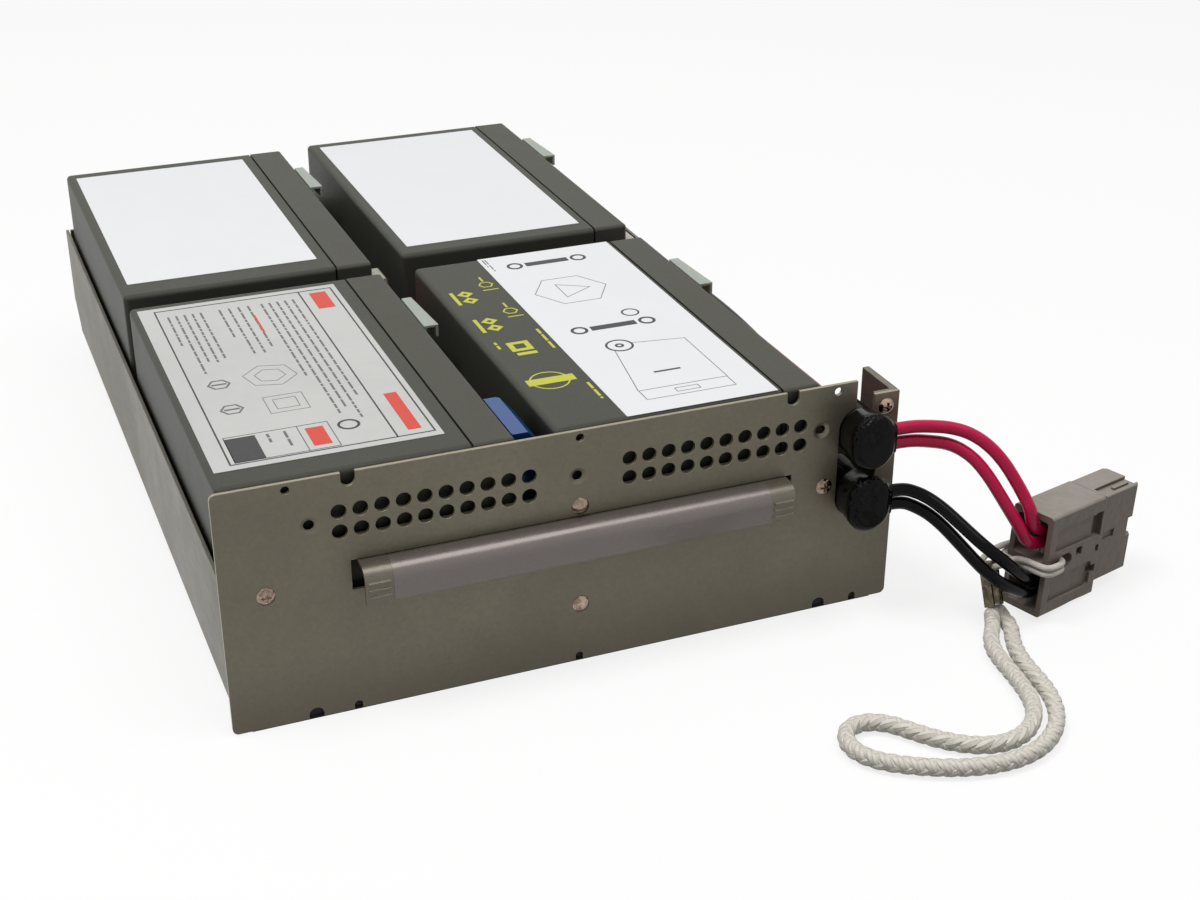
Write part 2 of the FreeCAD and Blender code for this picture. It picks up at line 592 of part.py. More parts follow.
def make_corner_bracket():
    """Angle behind the panel's right strip, lying against the inside of the tray's ear."""
    right = HALF_WIDTH - SHEET
    low = BOOT_Z[1] - BOOT_RADIUS
    front = box((NOTCH_RIGHT + SHEET / 2, PANEL_BACK, low), (right, PANEL_BACK + SHEET, STRIP_TOP))
    side = box((right - SHEET, PANEL_BACK, low), (right, PANEL_FRONT + EAR_LENGTH, STRIP_TOP))
    angle = front.fuse(side).removeSplitter()
    folds = edges_along(angle, Z_AXIS, lambda c: c.x > right - SHEET / 2 and c.y < PANEL_BACK + SHEET / 2)
    angle = angle.makeFillet(BRACKET_ROUND, folds)
    clearance = BOOT_TALL / 2 + BOOT_RADIUS + BOOT_GAP
    width = 2 * (BOOT_RADIUS + BOOT_GAP)
    passage = keyed(BOOT_X, BOOT_Z[1] - clearance, BOOT_Z[0] + clearance, width)
    return angle.cut([passage, hole(*BRACKET_SCREW, RIVET_SHANK_RADIUS)])


# ---- cable boots ----
def oval(x, y, z, radius, tall):
    """Upright round-ended outline at a given depth."""
    low = z - tall / 2
    high = z + tall / 2
    left = x - radius
    right = x + radius
    upper = Part.Arc(VEC(left, y, high), VEC(x, y, high + radius), VEC(right, y, high))
    lower = Part.Arc(VEC(right, y, low), VEC(x, y, low - radius), VEC(left, y, low))
    return Part.Wire([Part.LineSegment(VEC(left, y, low), VEC(left, y, high)).toShape(), upper.toShape(),
                      Part.LineSegment(VEC(right, y, high), VEC(right, y, low)).toShape(), lower.toShape()])


def make_boot(z, wire_heights):
    """Moulded cap over the joined cables: it flares and leans towards the front and has a side outlet."""
    front = PANEL_FRONT - BOOT_REACH
    seat = oval(BOOT_X, PANEL_FRONT, z, BOOT_RADIUS, BOOT_TALL)
    mouth = oval(BOOT_X + BOOT_LEAN[0], front, z + BOOT_LEAN[1],
                 BOOT_RADIUS + BOOT_FLARE, BOOT_TALL + BOOT_STRETCH)
    cap = Part.makeLoft([seat, mouth], True, True)
    rim = [e for e in cap.Edges if abs(e.BoundBox.YMax - front) < TOUCH]
    cap = cap.makeFillet(BOOT_ROUND, rim)
    tail = Part.Face(seat).extrude(Y_AXIS * (BOOT_BACK - PANEL_FRONT))
    half = WIRE_DIAMETER / 2 + OUTLET_WALL
    outlet = box((BOOT_X, OUTLET_Y - half, min(wire_heights) - half),
                 (OUTLET_X, OUTLET_Y + half, max(wire_heights) + half))
    outlet = outlet.makeFillet(WIRE_DIAMETER / 2, edges_along(outlet, X_AXIS))
    return cap.fuse([tail, outlet])


# ---- batteries ----
def make_case(x, y):
    """Sealed case with rounded edges, without its lid."""
    joint = x + CELL_WIDTH - LID_WIDTH
    back = y + CELL_LENGTH
    case = box((x, y, CELL_BOTTOM), (joint, back, CELL_TOP))
    rim = case.makeFillet(CELL_ROUND, [e for e in case.Edges if e.CenterOfMass.x < joint - TOUCH])
    ring = box((joint - LID_GROOVE, y - CLEAR, CELL_BOTTOM - CLEAR), (joint, back + CLEAR, CELL_TOP + CLEAR))
    core = box((joint - 2 * LID_GROOVE, y + LID_GROOVE_DEPTH, CELL_BOTTOM + LID_GROOVE_DEPTH),
               (joint + LID_GROOVE, back - LID_GROOVE_DEPTH, CELL_TOP - LID_GROOVE_DEPTH))
    return rim.cut(ring.cut(core))


def terminal_wells(x, y):
    """Pockets in the lid's face for the two terminals."""
    face = x + CELL_WIDTH
    middle = y + TERMINAL_Y
    half = TERMINAL_WELL / 2
    floor = face - TERMINAL_WELL_DEPTH
    past = face + CLEAR
    return [box((floor, middle - half, z - half), (past, middle + half, z + half)) for z in TERMINAL_Z]


def vent_cover_space(x, y, margin, reach):
    """Space of the plate over the six valves, on the lid's face."""
    face = x + CELL_WIDTH
    middle_y = y + CELL_LENGTH / 2 + TERMINAL_Y / 2
    middle_z = (CELL_BOTTOM + CELL_TOP) / 2
    half_y = VENT_COVER_LENGTH / 2 + margin
    half_z = VENT_COVER_WIDTH / 2 + margin
    return box((face - VENT_COVER_DEPTH, middle_y - half_y, middle_z - half_z),
               (face + reach, middle_y + half_y, middle_z + half_z))


def make_lid(x, y):
    """Lid with rounded edges, two terminal wells and the recess of the valve cover."""
    joint = x + CELL_WIDTH - LID_WIDTH
    lid = box((joint, y, CELL_BOTTOM), (x + CELL_WIDTH, y + CELL_LENGTH, CELL_TOP))
    lid = lid.makeFillet(LID_ROUND, [e for e in lid.Edges if e.CenterOfMass.x > joint + TOUCH])
    recess = vent_cover_space(x, y, SLIDE_GAP / 2, CLEAR)
    return lid.cut(terminal_wells(x, y) + [recess])


def make_vent_cover(x, y):
    """Plate over the valves, with a shallow round dimple over each cell."""
    plate = vent_cover_space(x, y, 0, 0)
    low = plate.BoundBox.YMin
    pitch = VENT_COVER_LENGTH / CELL_CAPS
    face = plate.BoundBox.XMax
    floor = face - VENT_COVER_DEPTH / 2
    z = (CELL_BOTTOM + CELL_TOP) / 2
    dimples = []
    for i in range(CELL_CAPS):
        middle = low + (i + 0.5) * pitch
        dimples.append(rod(pitch / 3, (floor, middle, z), (face + CLEAR, middle, z)))
    return plate.cut(dimples)


def make_tabs(x, y):
    """Two flat push-on terminals standing in their wells."""
    floor = x + CELL_WIDTH - TERMINAL_WELL_DEPTH
    start = y + TERMINAL_Y - TAB_WIDTH / 2
    end = start + TAB_WIDTH
    tabs = []
    for z in TERMINAL_Z:
        foot = box((floor, start, z - TAB_WIDTH / 2), (floor + TAB_THICKNESS, end, z + TAB_WIDTH / 2))
        blade = box((floor, start, z - TAB_THICKNESS / 2),
                    (x + CELL_WIDTH + TAB_REACH, end, z + TAB_THICKNESS / 2))
        tip = edges_along(blade, Z_AXIS, lambda c: c.x > x + CELL_WIDTH)
        tabs.append(foot.fuse(blade.makeFillet(TAB_TIP, tip)))
    return Part.makeCompound(tabs)


def sleeve_end(y, way):
    """Start and end of an insulated receptacle along Y; the wire leaves at its end."""
    near = y + TERMINAL_Y - way * SLEEVE_WIDTH / 2
    return near, near + way * SLEEVE_LENGTH


def make_sleeves(x, y, way):
    """Two insulated receptacles pushed over the tabs."""
    face = x + CELL_WIDTH
    low, high = sorted(sleeve_end(y, way))
    start = y + TERMINAL_Y - TAB_WIDTH / 2
    sleeves = []
    for z in TERMINAL_Z:
        body = box((face + SLEEVE_LIFT, low, z - SLEEVE_THICKNESS / 2),
                   (face + SLEEVE_LIFT + SLEEVE_REACH, high, z + SLEEVE_THICKNESS / 2))
        body = body.makeFillet(SLEEVE_ROUND, edges_along(body, Y_AXIS))
        slot = box((face - CLEAR, start, z - TAB_THICKNESS / 2),
                   (face + TAB_REACH, start + TAB_WIDTH, z + TAB_THICKNESS / 2))
        sleeves.append(body.cut(slot))
    return Part.makeCompound(sleeves)


def make_label(key, x, y):
    """Label on the battery's upper broad side."""
    left, front, right, back = LABELS[key]
    sheet = box((x + left, y + front, CELL_TOP),
                (x + CELL_WIDTH - LID_WIDTH - right, y + CELL_LENGTH - back, CELL_TOP + LABEL_SKIN))
    return sheet.makeFillet(LABEL_CORNER, edges_along(sheet, Z_AXIS))


def make_guide(x, y):
    """Thin moulded channel hooked over the lid's edge, wider at its front end."""
    face = x + CELL_WIDTH
    start = y + GUIDE_START
    end = start + GUIDE_LENGTH
    top = CELL_TOP
    plan = [(face, start, top - GUIDE_SKIN), (face + GUIDE_WIDE, start, top - GUIDE_SKIN),
            (face + GUIDE_NARROW, end, top - GUIDE_SKIN), (face, end, top - GUIDE_SKIN)]
    plate = profile(plan, Z_AXIS, GUIDE_SKIN)
    leg = box((face, start, top - GUIDE_LEG), (face + GUIDE_SKIN, end, top))
    drop = top - GUIDE_FLANGE
    rim = [(face + GUIDE_WIDE - GUIDE_SKIN, start, drop), (face + GUIDE_WIDE, start, drop),
           (face + GUIDE_NARROW, end, drop), (face + GUIDE_NARROW - GUIDE_SKIN, end, drop)]
    return plate.fuse([leg, profile(rim, Z_AXIS, GUIDE_FLANGE)]).removeSplitter()


def make_terminal_cover():
    """Hood over the front left battery's upper terminal, open to the lid and to the back."""
    x, y, _ = BATTERIES["front_left"]
    face = x + CELL_WIDTH
    top = CELL_TOP - SLIDE_GAP

    def hood(inset, start, end, low):
        width = COVER_WIDTH - inset
        high = top - inset
        section = [(face, start, high), (face + width - COVER_TOP_CHAMFER, start, high),
                   (face + width, start, high - COVER_TOP_CHAMFER), (face + width, start, low),
                   (face, start, low)]
        solid = profile(section, Y_AXIS, end - start)
        corner = y + COVER_START + COVER_LENGTH
        past = face + width + CLEAR
        wedge = profile([(past - COVER_END_CHAMFER - CLEAR, corner, low), (past, corner, low),
                         (past, corner - COVER_END_CHAMFER - CLEAR, low)], Z_AXIS, 2 * COVER_HEIGHT)
        return solid.cut(wedge)

    front = y + COVER_START
    back = front + COVER_LENGTH
    foot = top - COVER_HEIGHT
    inside = hood(COVER_SKIN, front + COVER_SKIN, back + COVER_SKIN, foot - COVER_SKIN)
    exit_top = TERMINAL_Z[1] + LEAD_DIAMETER / 2 + SLIDE_GAP
    exit_way = box((face, back - COVER_END_CHAMFER - COVER_SKIN, foot - COVER_SKIN),
                   (face + COVER_EXIT_WIDTH, back + COVER_SKIN, exit_top))
    return hood(0, front, back, foot).cut([inside, exit_way])


def make_foam():
    """Four pads between the tray's floor and the batteries."""
    pads = []
    for x, y, _ in BATTERIES.values():
        low = (x + FOAM_INSET, y + FOAM_INSET, FLOOR_TOP)
        high = (x + CELL_WIDTH - FOAM_INSET, y + CELL_LENGTH - FOAM_INSET, CELL_BOTTOM)
        pads.append(box(low, high))
    return Part.makeCompound(pads)


# ---- power connector ----
def plug_placement():
    """Where the connector lies: built along +X from its rear face, then turned and set down."""
    turn = FreeCAD.Rotation(Z_AXIS, PLUG_YAW).multiply(FreeCAD.Rotation(Y_AXIS, PLUG_TILT))
    return FreeCAD.Placement(VEC(HALF_WIDTH + PLUG_RIGHT, PANEL_FRONT - PLUG_FRONT, PLUG_Z), turn)


def placed(shape):
    """Shape moved from the connector's own axes to where the connector lies."""
    moved = shape.copy()
    moved.transformShape(plug_placement().toMatrix(), True)
    return moved


def plug_pole(side):
    """Height of a pole's middle in the connector's own axes; side is 1 above, -1 below."""
    return side * PLUG_PITCH / 2


def plug_body():
    """Outside of the housing: the larger rear part and the narrower mating part."""
    half_w = PLUG_WIDTH / 2
    half_t = PLUG_THICKNESS / 2
    body = box((0, -half_t, -half_w), (PLUG_BODY_LENGTH, half_t, half_w))
    body = body.makeFillet(PLUG_ROUND, edges_along(body, X_AXIS))
    radius = ((FOOT_HOLLOW_LENGTH / 2) ** 2 + FOOT_HOLLOW_DEPTH ** 2) / (2 * FOOT_HOLLOW_DEPTH)
    low = -half_w + FOOT_HOLLOW_DEPTH - radius
    body = body.cut(rod(radius, (FOOT_HOLLOW_X, -half_t - CLEAR, low), (FOOT_HOLLOW_X, half_t + CLEAR, low)))
    thin = half_t - PLUG_MATE_INSET
    mate = box((PLUG_BODY_LENGTH - PLUG_ROUND, -thin, -half_w + PLUG_STEP),
               (PLUG_LENGTH, thin, half_w - PLUG_MATE_INSET))
    nose = edges_along(mate, Y_AXIS, lambda c: c.x > PLUG_LENGTH - TOUCH and c.z < 0)
    nose += edges_along(mate, Z_AXIS, lambda c: c.x > PLUG_LENGTH - TOUCH)
    mate = mate.makeChamfer(PLUG_NOSE, nose)
    mate = mate.makeFillet(PLUG_ROUND / 2, edges_along(mate, X_AXIS))
    return body.fuse(mate)


def plug_pockets():
    """Cable pockets, mating mouths, contact slots, the notch at the free end and the tie's oblong hole."""
    half_t = PLUG_THICKNESS / 2
    inner = half_t - PLUG_WALL
    mouth_inner = inner - PLUG_WALL / 2
    mouth_start = PLUG_LENGTH - PLUG_FRONT_POCKET
    pole_half = (PLUG_PITCH - PLUG_WEB) / 2
    slot_half = CONTACT_TONGUE_WIDTH / 2
    cuts = []
    for side in (-1, 1):
        z = plug_pole(side)
        pocket = box((-CLEAR, -inner, z - pole_half), (PLUG_REAR_POCKET, inner, z + pole_half))
        cuts.append(pocket.makeFillet(PLUG_ROUND, edges_along(pocket, X_AXIS)))
        low = max(z - pole_half, -PLUG_WIDTH / 2 + PLUG_STEP + PLUG_WALL)
        cuts.append(box((mouth_start, -mouth_inner, low),
                        (PLUG_LENGTH + CLEAR, mouth_inner, z + pole_half - PLUG_WALL / 2)))
        cuts.append(box((PLUG_REAR_POCKET - CLEAR, -slot_half, z - CONTACT_TONGUE_THICKNESS),
                        (mouth_start + CLEAR, slot_half, z + CONTACT_TONGUE_THICKNESS)))
    cuts.append(box((PLUG_LENGTH - PLUG_SLOT_DEPTH, -half_t - CLEAR, PLUG_SLOT_LOW),
                    (PLUG_LENGTH + CLEAR, half_t + CLEAR, PLUG_SLOT_LOW + PLUG_SLOT_HEIGHT)))
    for x in (PLUG_HOLE_FROM_REAR, PLUG_HOLE_FROM_REAR + PLUG_HOLE_TRAVEL):
        cuts.append(rod(PLUG_HOLE_RADIUS, (x, -half_t - CLEAR, 0), (x, half_t + CLEAR, 0)))
    cuts.append(box((PLUG_HOLE_FROM_REAR, -half_t - CLEAR, -PLUG_HOLE_RADIUS),
                    (PLUG_HOLE_FROM_REAR + PLUG_HOLE_TRAVEL, half_t + CLEAR, PLUG_HOLE_RADIUS)))
    return cuts


def plug_recesses(face):
    """Recesses of one broad side; face is 1 for +Y, -1 for -Y."""
    outer = face * PLUG_THICKNESS / 2

    def recess(x0, x1, span, depth):
        near, far = sorted((outer - face * depth, outer + face * CLEAR))
        return box((x0, near, span[0]), (x1, far, span[1]))

    cuts = []
    for span in (CHEEK_UPPER, CHEEK_LOWER):
        cheek = recess(CHEEK_START, PLUG_BODY_LENGTH - CHEEK_END_GAP, span, CHEEK_DEPTH)
        cuts.append(cheek.makeFillet(CHEEK_ROUND, edges_along(cheek, Y_AXIS)))
    catch_end = PLUG_BODY_LENGTH - CATCH_GAP
    for span in (CATCH_UPPER, CATCH_LOWER):
        cuts.append(recess(catch_end - CATCH_LENGTH, catch_end, span, CATCH_DEPTH))
    half = WINDOW_SIZE / 2
    window = (WINDOW_Z - half, WINDOW_Z + half)
    cuts.append(recess(WINDOW_X - half, WINDOW_X + half, window, OPENING_DEPTH))
    peep = (PEEP_Z - PEEP_HEIGHT / 2, PEEP_Z + PEEP_HEIGHT / 2)
    cuts.append(recess(PEEP_X - PEEP_LENGTH / 2, PEEP_X + PEEP_LENGTH / 2, peep, OPENING_DEPTH))
    start = PLUG_BODY_LENGTH + RELIEF_START
    cuts.append(recess(start, start + RELIEF_LENGTH, RELIEF_SPAN, RELIEF_DEPTH + PLUG_MATE_INSET))
    return cuts


def make_plug_housing():
    """Two-pole housing: rear body with two cable pockets, a flat mating part, its keyway and key."""
    half_t = PLUG_THICKNESS / 2
    top = PLUG_WIDTH / 2
    floor = top - PLUG_MATE_INSET - KEYWAY_DEPTH
    groove = box((PLUG_BODY_LENGTH - GROOVE_WIDTH / 2, -half_t - CLEAR, top - GROOVE_DEPTH),
                 (PLUG_BODY_LENGTH + GROOVE_WIDTH / 2, half_t + CLEAR, top + CLEAR))
    keyway = box((PLUG_BODY_LENGTH + KEYWAY_START, KEYWAY_LOW_Y, floor),
                 (PLUG_LENGTH + CLEAR, KEYWAY_HIGH_Y, top + CLEAR))
    cuts = plug_pockets() + plug_recesses(-1) + plug_recesses(1) + [groove, keyway]
    housing = plug_body().cut(cuts)
    middle = (KEYWAY_LOW_Y + KEYWAY_HIGH_Y) / 2
    key = box((PLUG_BODY_LENGTH + KEY_START, middle - KEY_WIDTH / 2, floor - KEY_HEIGHT),
              (PLUG_LENGTH - KEY_END_GAP, middle + KEY_WIDTH / 2, floor + KEY_HEIGHT))
    return placed(housing.fuse(key).removeSplitter())


def make_contact(side):
    """Crimp barrel with a flat tongue that reaches into the mating mouth."""
    z = plug_pole(side)
    end = CONTACT_BARREL_START + CONTACT_BARREL_LENGTH
    barrel = rod(CONTACT_BARREL_RADIUS, (CONTACT_BARREL_START, 0, z), (end, 0, z))
    rims = [e for e in barrel.Edges if isinstance(e.Curve, Part.Circle)]
    barrel = barrel.makeFillet(CONTACT_BARREL_ROUND, rims)
    half = CONTACT_TONGUE_THICKNESS / 2
    side_half = CONTACT_TONGUE_WIDTH / 2 - SLIDE_GAP
    tongue = box((end - CONTACT_OVERLAP, -side_half, z - half),
                 (PLUG_LENGTH - PLUG_SLOT_DEPTH - CLEAR, side_half, z + half))
    tip = edges_along(tongue, Y_AXIS, lambda c: c.x > PLUG_LENGTH - PLUG_FRONT_POCKET)
    tongue = tongue.makeFillet(CONTACT_TIP_ROUND, tip)
    return placed(barrel.fuse(tongue))


def make_contact_spring(side):
    """Flat spring under a contact's tongue, fixed in the housing and arched in its middle."""
    top = plug_pole(side) - CONTACT_TONGUE_THICKNESS / 2 - SPRING_THICKNESS
    low = top - SPRING_THICKNESS
    start = PLUG_LENGTH - PLUG_FRONT_POCKET
    end = PLUG_LENGTH - PLUG_SLOT_DEPTH - 2 * CLEAR
    middle = (start + end) / 2
    half = CONTACT_TONGUE_WIDTH / 2 - SPRING_SIDE
    upper = Part.Arc(VEC(start, 0, top), VEC(middle, 0, top + SPRING_RISE), VEC(end, 0, top))
    lower = Part.Arc(VEC(end, 0, low), VEC(middle, 0, low + SPRING_RISE), VEC(start, 0, low))
    tip = Part.LineSegment(VEC(end, 0, top), VEC(end, 0, low))
    root = Part.LineSegment(VEC(start, 0, low), VEC(start, 0, top))
    outline = Part.Wire([upper.toShape(), tip.toShape(), lower.toShape(), root.toShape()])
    leaf = Part.Face(outline).extrude(Y_AXIS * 2 * half)
    leaf.translate(VEC(0, -half, 0))
    return placed(leaf)


# ---- cord routes: points chosen by hand, in millimetres ----
def from_corner(points):
    """Points measured from the panel's lower right front corner, moved to the model's axes."""
    return [(HALF_WIDTH + x, PANEL_FRONT + y, z) for x, y, z in points]


def near_front(face, points):
    """Points measured from a lid's face and the front row's start."""
    return [(face + x, FRONT_ROW + y, z) for x, y, z in points]


def near_gap(face, points):
    """Points measured from a lid's face and the front row's end."""
    return [(face + x, ROW_END + y, z) for x, y, z in points]


def leaving_boot(level, run, rest):
    """Route that starts with a straight run out of a boot's side outlet."""
    return [(OUTLET_X, OUTLET_Y, level), (OUTLET_X + run, OUTLET_Y, level)] + from_corner(rest)


def plugged(key, level):
    """Where a wire leaves a battery's receptacle; level is 0 for the lower one, 1 for the upper one."""
    x, y, way = BATTERIES[key]
    return x + CELL_WIDTH + SLEEVE_LIFT + SLEEVE_REACH / 2, sleeve_end(y, way)[1], TERMINAL_Z[level]


def in_boot(number, side):
    """Where an inner lead ends at the rear of a boot; side is -1 to the left, 1 to the right."""
    return BOOT_X + side * LEAD_SPREAD, BOOT_BACK, BOOT_Z[number]


def joined(start, lead, middle, end, trail):
    """Route between two ends, with a straight run along Y at each."""
    first = (start[0], start[1] + lead, start[2])
    last = (end[0], end[1] + trail, end[2])
    return [start, first] + middle + [last, end]


RED_WIRE_UPPER = leaving_boot(BOOT_Z[0] + RED_WIRE_RISE[0], RED_WIRE_RUN[0], [
    (6.45, -10.4, 68.7), (13.25, -12.0, 67.7), (19.05, -14.8, 66.0), (24.05, -18.8, 62.6),
    (28.05, -23.0, 57.5), (31.05, -26.6, 51.5), (33.55, -29.6, 45.8), (34.65, -32.2, 41.9),
    (35.55, -32.3, 37.0), (38.45, -31.5, 33.9), (42.35, -30.1, 32.4), (46.45, -28.7, 32.0)])
RED_WIRE_LOWER = leaving_boot(BOOT_Z[0] + RED_WIRE_RISE[1], RED_WIRE_RUN[1], [
    (6.95, -10.4, 63.0), (12.65, -12.0, 61.9), (16.95, -14.8, 60.0), (20.45, -18.8, 56.9),
    (23.35, -23.0, 52.0), (26.25, -26.6, 46.0), (28.65, -29.6, 40.9), (31.65, -31.7, 35.4),
    (33.85, -32.3, 30.7), (37.85, -31.4, 28.2), (42.05, -30.2, 27.5), (46.25, -28.8, 27.2)])
BLACK_WIRE_UPPER = leaving_boot(BOOT_Z[1] + BLACK_WIRE_RISE[0], BLACK_WIRE_RUN[0], [
    (2.85, -11.4, 44.9), (6.45, -13.8, 43.0), (9.55, -18.0, 40.6), (12.45, -23.0, 37.5),
    (15.05, -28.4, 34.5), (18.35, -33.6, 31.1), (23.45, -36.6, 26.8), (31.75, -35.5, 18.9),
    (36.45, -33.3, 15.6), (41.05, -30.7, 14.4), (45.55, -29.0, 14.0)])
BLACK_WIRE_LOWER = leaving_boot(BOOT_Z[1] + BLACK_WIRE_RISE[1], BLACK_WIRE_RUN[1], [
    (2.45, -11.4, 39.6), (6.25, -14.0, 37.4), (9.15, -19.0, 34.7), (11.95, -25.8, 30.7),
    (14.55, -31.6, 26.8), (17.35, -35.8, 23.4), (21.75, -37.6, 19.4), (31.25, -35.7, 13.1),
    (36.25, -33.4, 10.4), (40.75, -30.8, 9.5), (45.25, -29.1, 9.2)])
PULL_ROPE = from_corner([
    (20.55, -35.5, 8.8), (20.75, -36.3, 6.5), (20.05, -38.0, 4.6), (18.45, -40.6, 3.2),
    (15.25, -44.6, 3.0), (12.45, -50.8, 3.0), (11.05, -59.2, 3.0), (10.05, -68.6, 3.0),
    (8.25, -78.4, 3.0), (4.45, -87.2, 3.0), (-2.35, -94.0, 3.0), (-11.35, -97.2, 3.0),
    (-20.55, -95.6, 3.0), (-28.55, -90.2, 3.0), (-34.95, -82.8, 3.0), (-40.55, -74.8, 3.0),
    (-46.95, -70.9, 3.0), (-53.75, -71.6, 3.0), (-57.85, -76.6, 3.0), (-58.05, -83.4, 3.0),
    (-54.55, -89.6, 3.0), (-48.35, -94.6, 3.0), (-40.55, -99.2, 3.0), (-31.75, -103.0, 3.0),
    (-22.35, -105.2, 3.0), (-12.35, -105.4, 3.0), (-2.15, -102.4, 3.0), (6.65, -95.8, 3.0),
    (12.85, -86.4, 3.0), (16.05, -75.4, 3.0), (17.05, -64.0, 3.0), (19.05, -54.2, 3.0),
    (22.25, -47.0, 3.0), (25.15, -42.2, 3.0), (26.25, -38.0, 3.1), (25.75, -35.2, 3.9),
    (25.35, -33.5, 5.2), (25.65, -32.3, 7.2)])
JUMPER_LEFT = joined(
    plugged("front_left", 1), 13.6,
    near_front(LID_LEFT, [(4.35, 57.6, 67.6), (4.95, 85.6, 58.6), (5.15, 113.6, 48.0)])
    + near_gap(LID_LEFT, [(4.75, -11.4, 36.8)]),
    plugged("rear_left", 0), -12.0)
JUMPER_RIGHT = joined(
    plugged("front_right", 1), 13.6,
    near_front(LID_RIGHT, [(4.15, 57.6, 67.4), (4.55, 85.6, 58.6), (4.75, 113.6, 48.4)])
    + near_gap(LID_RIGHT, [(4.55, -11.4, 37.2)]),
    plugged("rear_right", 0), -13.0)
LEAD_BLACK_LEFT = joined(
    plugged("front_left", 0), 11.6,
    near_front(LID_LEFT, [(4.55, 55.6, 29.4), (5.15, 87.6, 26.6), (4.95, 117.6, 24.8)])
    + near_gap(LID_LEFT, [(5.75, -11.4, 23.8), (8.75, 3.8, 23.6), (22.35, 7.8, 23.6), (49.35, 7.0, 24.0),
                          (81.35, 8.0, 24.6)])
    + near_gap(LID_RIGHT, [(-1.65, 5.8, 25.4), (12.55, -5.4, 27.4)])
    + near_front(LID_RIGHT, [(15.15, 121.6, 31.0), (15.75, 91.6, 35.6), (15.55, 59.6, 40.2),
                             (15.95, 33.6, 42.6)]),
    in_boot(1, 1), 11.8)
LEAD_RED_LEFT = joined(
    plugged("rear_left", 1), -4.4,
    near_gap(LID_LEFT, [(6.35, 9.0, 68.4), (11.75, 7.0, 61.0), (21.35, 7.4, 56.4), (41.35, 6.8, 56.6),
                        (71.35, 7.8, 59.4)])
    + near_gap(LID_RIGHT, [(-5.65, 6.0, 62.4), (11.35, -4.4, 64.6)])
    + near_front(LID_RIGHT, [(15.15, 123.6, 65.6), (15.75, 91.6, 66.2), (15.55, 59.6, 66.4),
                             (15.95, 33.6, 66.2)]),
    in_boot(0, 1), 11.8)
LEAD_BLACK_RIGHT = joined(
    plugged("front_right", 0), 7.6,
    near_front(LID_RIGHT, [(4.15, 41.6, 28.2), (5.75, 53.2, 29.6), (8.15, 60.4, 36.8), (10.15, 55.2, 45.4),
                           (10.95, 43.6, 48.0), (10.75, 29.6, 45.6)]),
    in_boot(1, -1), 9.8)
LEAD_RED_RIGHT = joined(
    plugged("rear_right", 1), -12.0,
    near_gap(LID_RIGHT, [(5.55, -11.4, 73.2)])
    + near_front(LID_RIGHT, [(8.75, 113.6, 73.8), (10.35, 85.6, 72.6), (10.95, 57.6, 69.6),
                             (10.75, 33.6, 66.8)]),
    in_boot(0, -1), 11.8)
# the two turns of the tie, in the connector's own axes
TIE_TURNS = [
    [
        (8.5, 0.3, -1.2), (8.5, -7.8, -1.2), (6.4, -9.9, -1.2), (3.0, -10.0, -1.2), (-0.1, -9.9, -1.2),
        (-1.7, -8.3, -1.2), (-1.8, -4.2, -1.3), (-1.7, 0.4, -1.2), (-1.8, 4.6, -1.1), (-1.7, 8.3, -1.0),
        (-0.1, 9.9, -0.9), (3.0, 10.0, -1.0), (6.4, 9.9, -1.1), (8.5, 7.8, -1.2), (8.5, 0.9, -1.2)],
    [
        (8.5, 0.3, 1.2), (8.5, -7.8, 1.2), (6.4, -9.9, 1.2), (3.0, -10.0, 1.2), (-0.2, -9.9, 1.2),
        (-1.9, -8.2, 1.2), (-2.0, -4.2, 1.2), (-2.3, -0.4, 1.2), (-4.2, 2.6, 0.9), (-7.8, 3.0, 0.2),
        (-11.2, 3.9, -0.7), (-13.0, 8.6, -2.6), (-10.6, 11.4, -1.8), (-6.0, 11.8, -0.2), (-1.6, 11.0, 1.3),
        (2.4, 10.1, 1.6), (6.4, 9.9, 1.3), (8.5, 7.8, 1.2), (8.5, 0.9, 1.2)],
]
CLIP_TOP, CLIP_FOOT = from_corner([(23.15, -28.70, 19.2), (23.05, -33.80, 8.2)])


# ---- cord fittings ----
def make_rope_clip():
    """Bent metal staple: two legs in the rope's ends, joined by a round bow that the tie passes through."""
    down = VEC(*CLIP_FOOT) - VEC(*CLIP_TOP)
    reach = down.Length
    half = CLIP_SPACING / 2
    side = CLIP_WIDTH / 2
    outer = -half - CLIP_THICKNESS / 2
    inner = -half + CLIP_THICKNESS / 2
    bow = Part.Arc(VEC(-half, 0, 0), VEC(0, 0, half), VEC(half, 0, 0))
    legs = [Part.LineSegment(VEC(x, 0, -reach), VEC(x, 0, 0)) for x in (-half, half)]
    path = Part.Wire([legs[0].toShape(), bow.toShape(), legs[1].toShape()])
    flat = Part.makePolygon([VEC(outer, -side, -reach), VEC(inner, -side, -reach), VEC(inner, side, -reach),
                             VEC(outer, side, -reach), VEC(outer, -side, -reach)])
    clip = path.makePipeShell([flat], True, False)
    ends = VEC(*PULL_ROPE[0]) - VEC(*PULL_ROPE[-1])
    across = VEC(ends.x, ends.y, 0).normalize()
    upward = VEC(-down.x, -down.y, -down.z).normalize()
    across = (across - upward * across.dot(upward)).normalize()
    deep = upward.cross(across)
    frame = FreeCAD.Matrix(across.x, deep.x, upward.x, CLIP_TOP[0], across.y, deep.y, upward.y, CLIP_TOP[1],
                           across.z, deep.z, upward.z, CLIP_TOP[2], 0, 0, 0, 1)
    clip.transformShape(frame, True)
    return clip


def make_tie():
    """Two turns of thin cord round the rear web, through the middle hole; one also holds the rope's clip."""
    return placed(Part.makeCompound([tube("tie_cord", turn, TIE_DIAMETER) for turn in TIE_TURNS]))


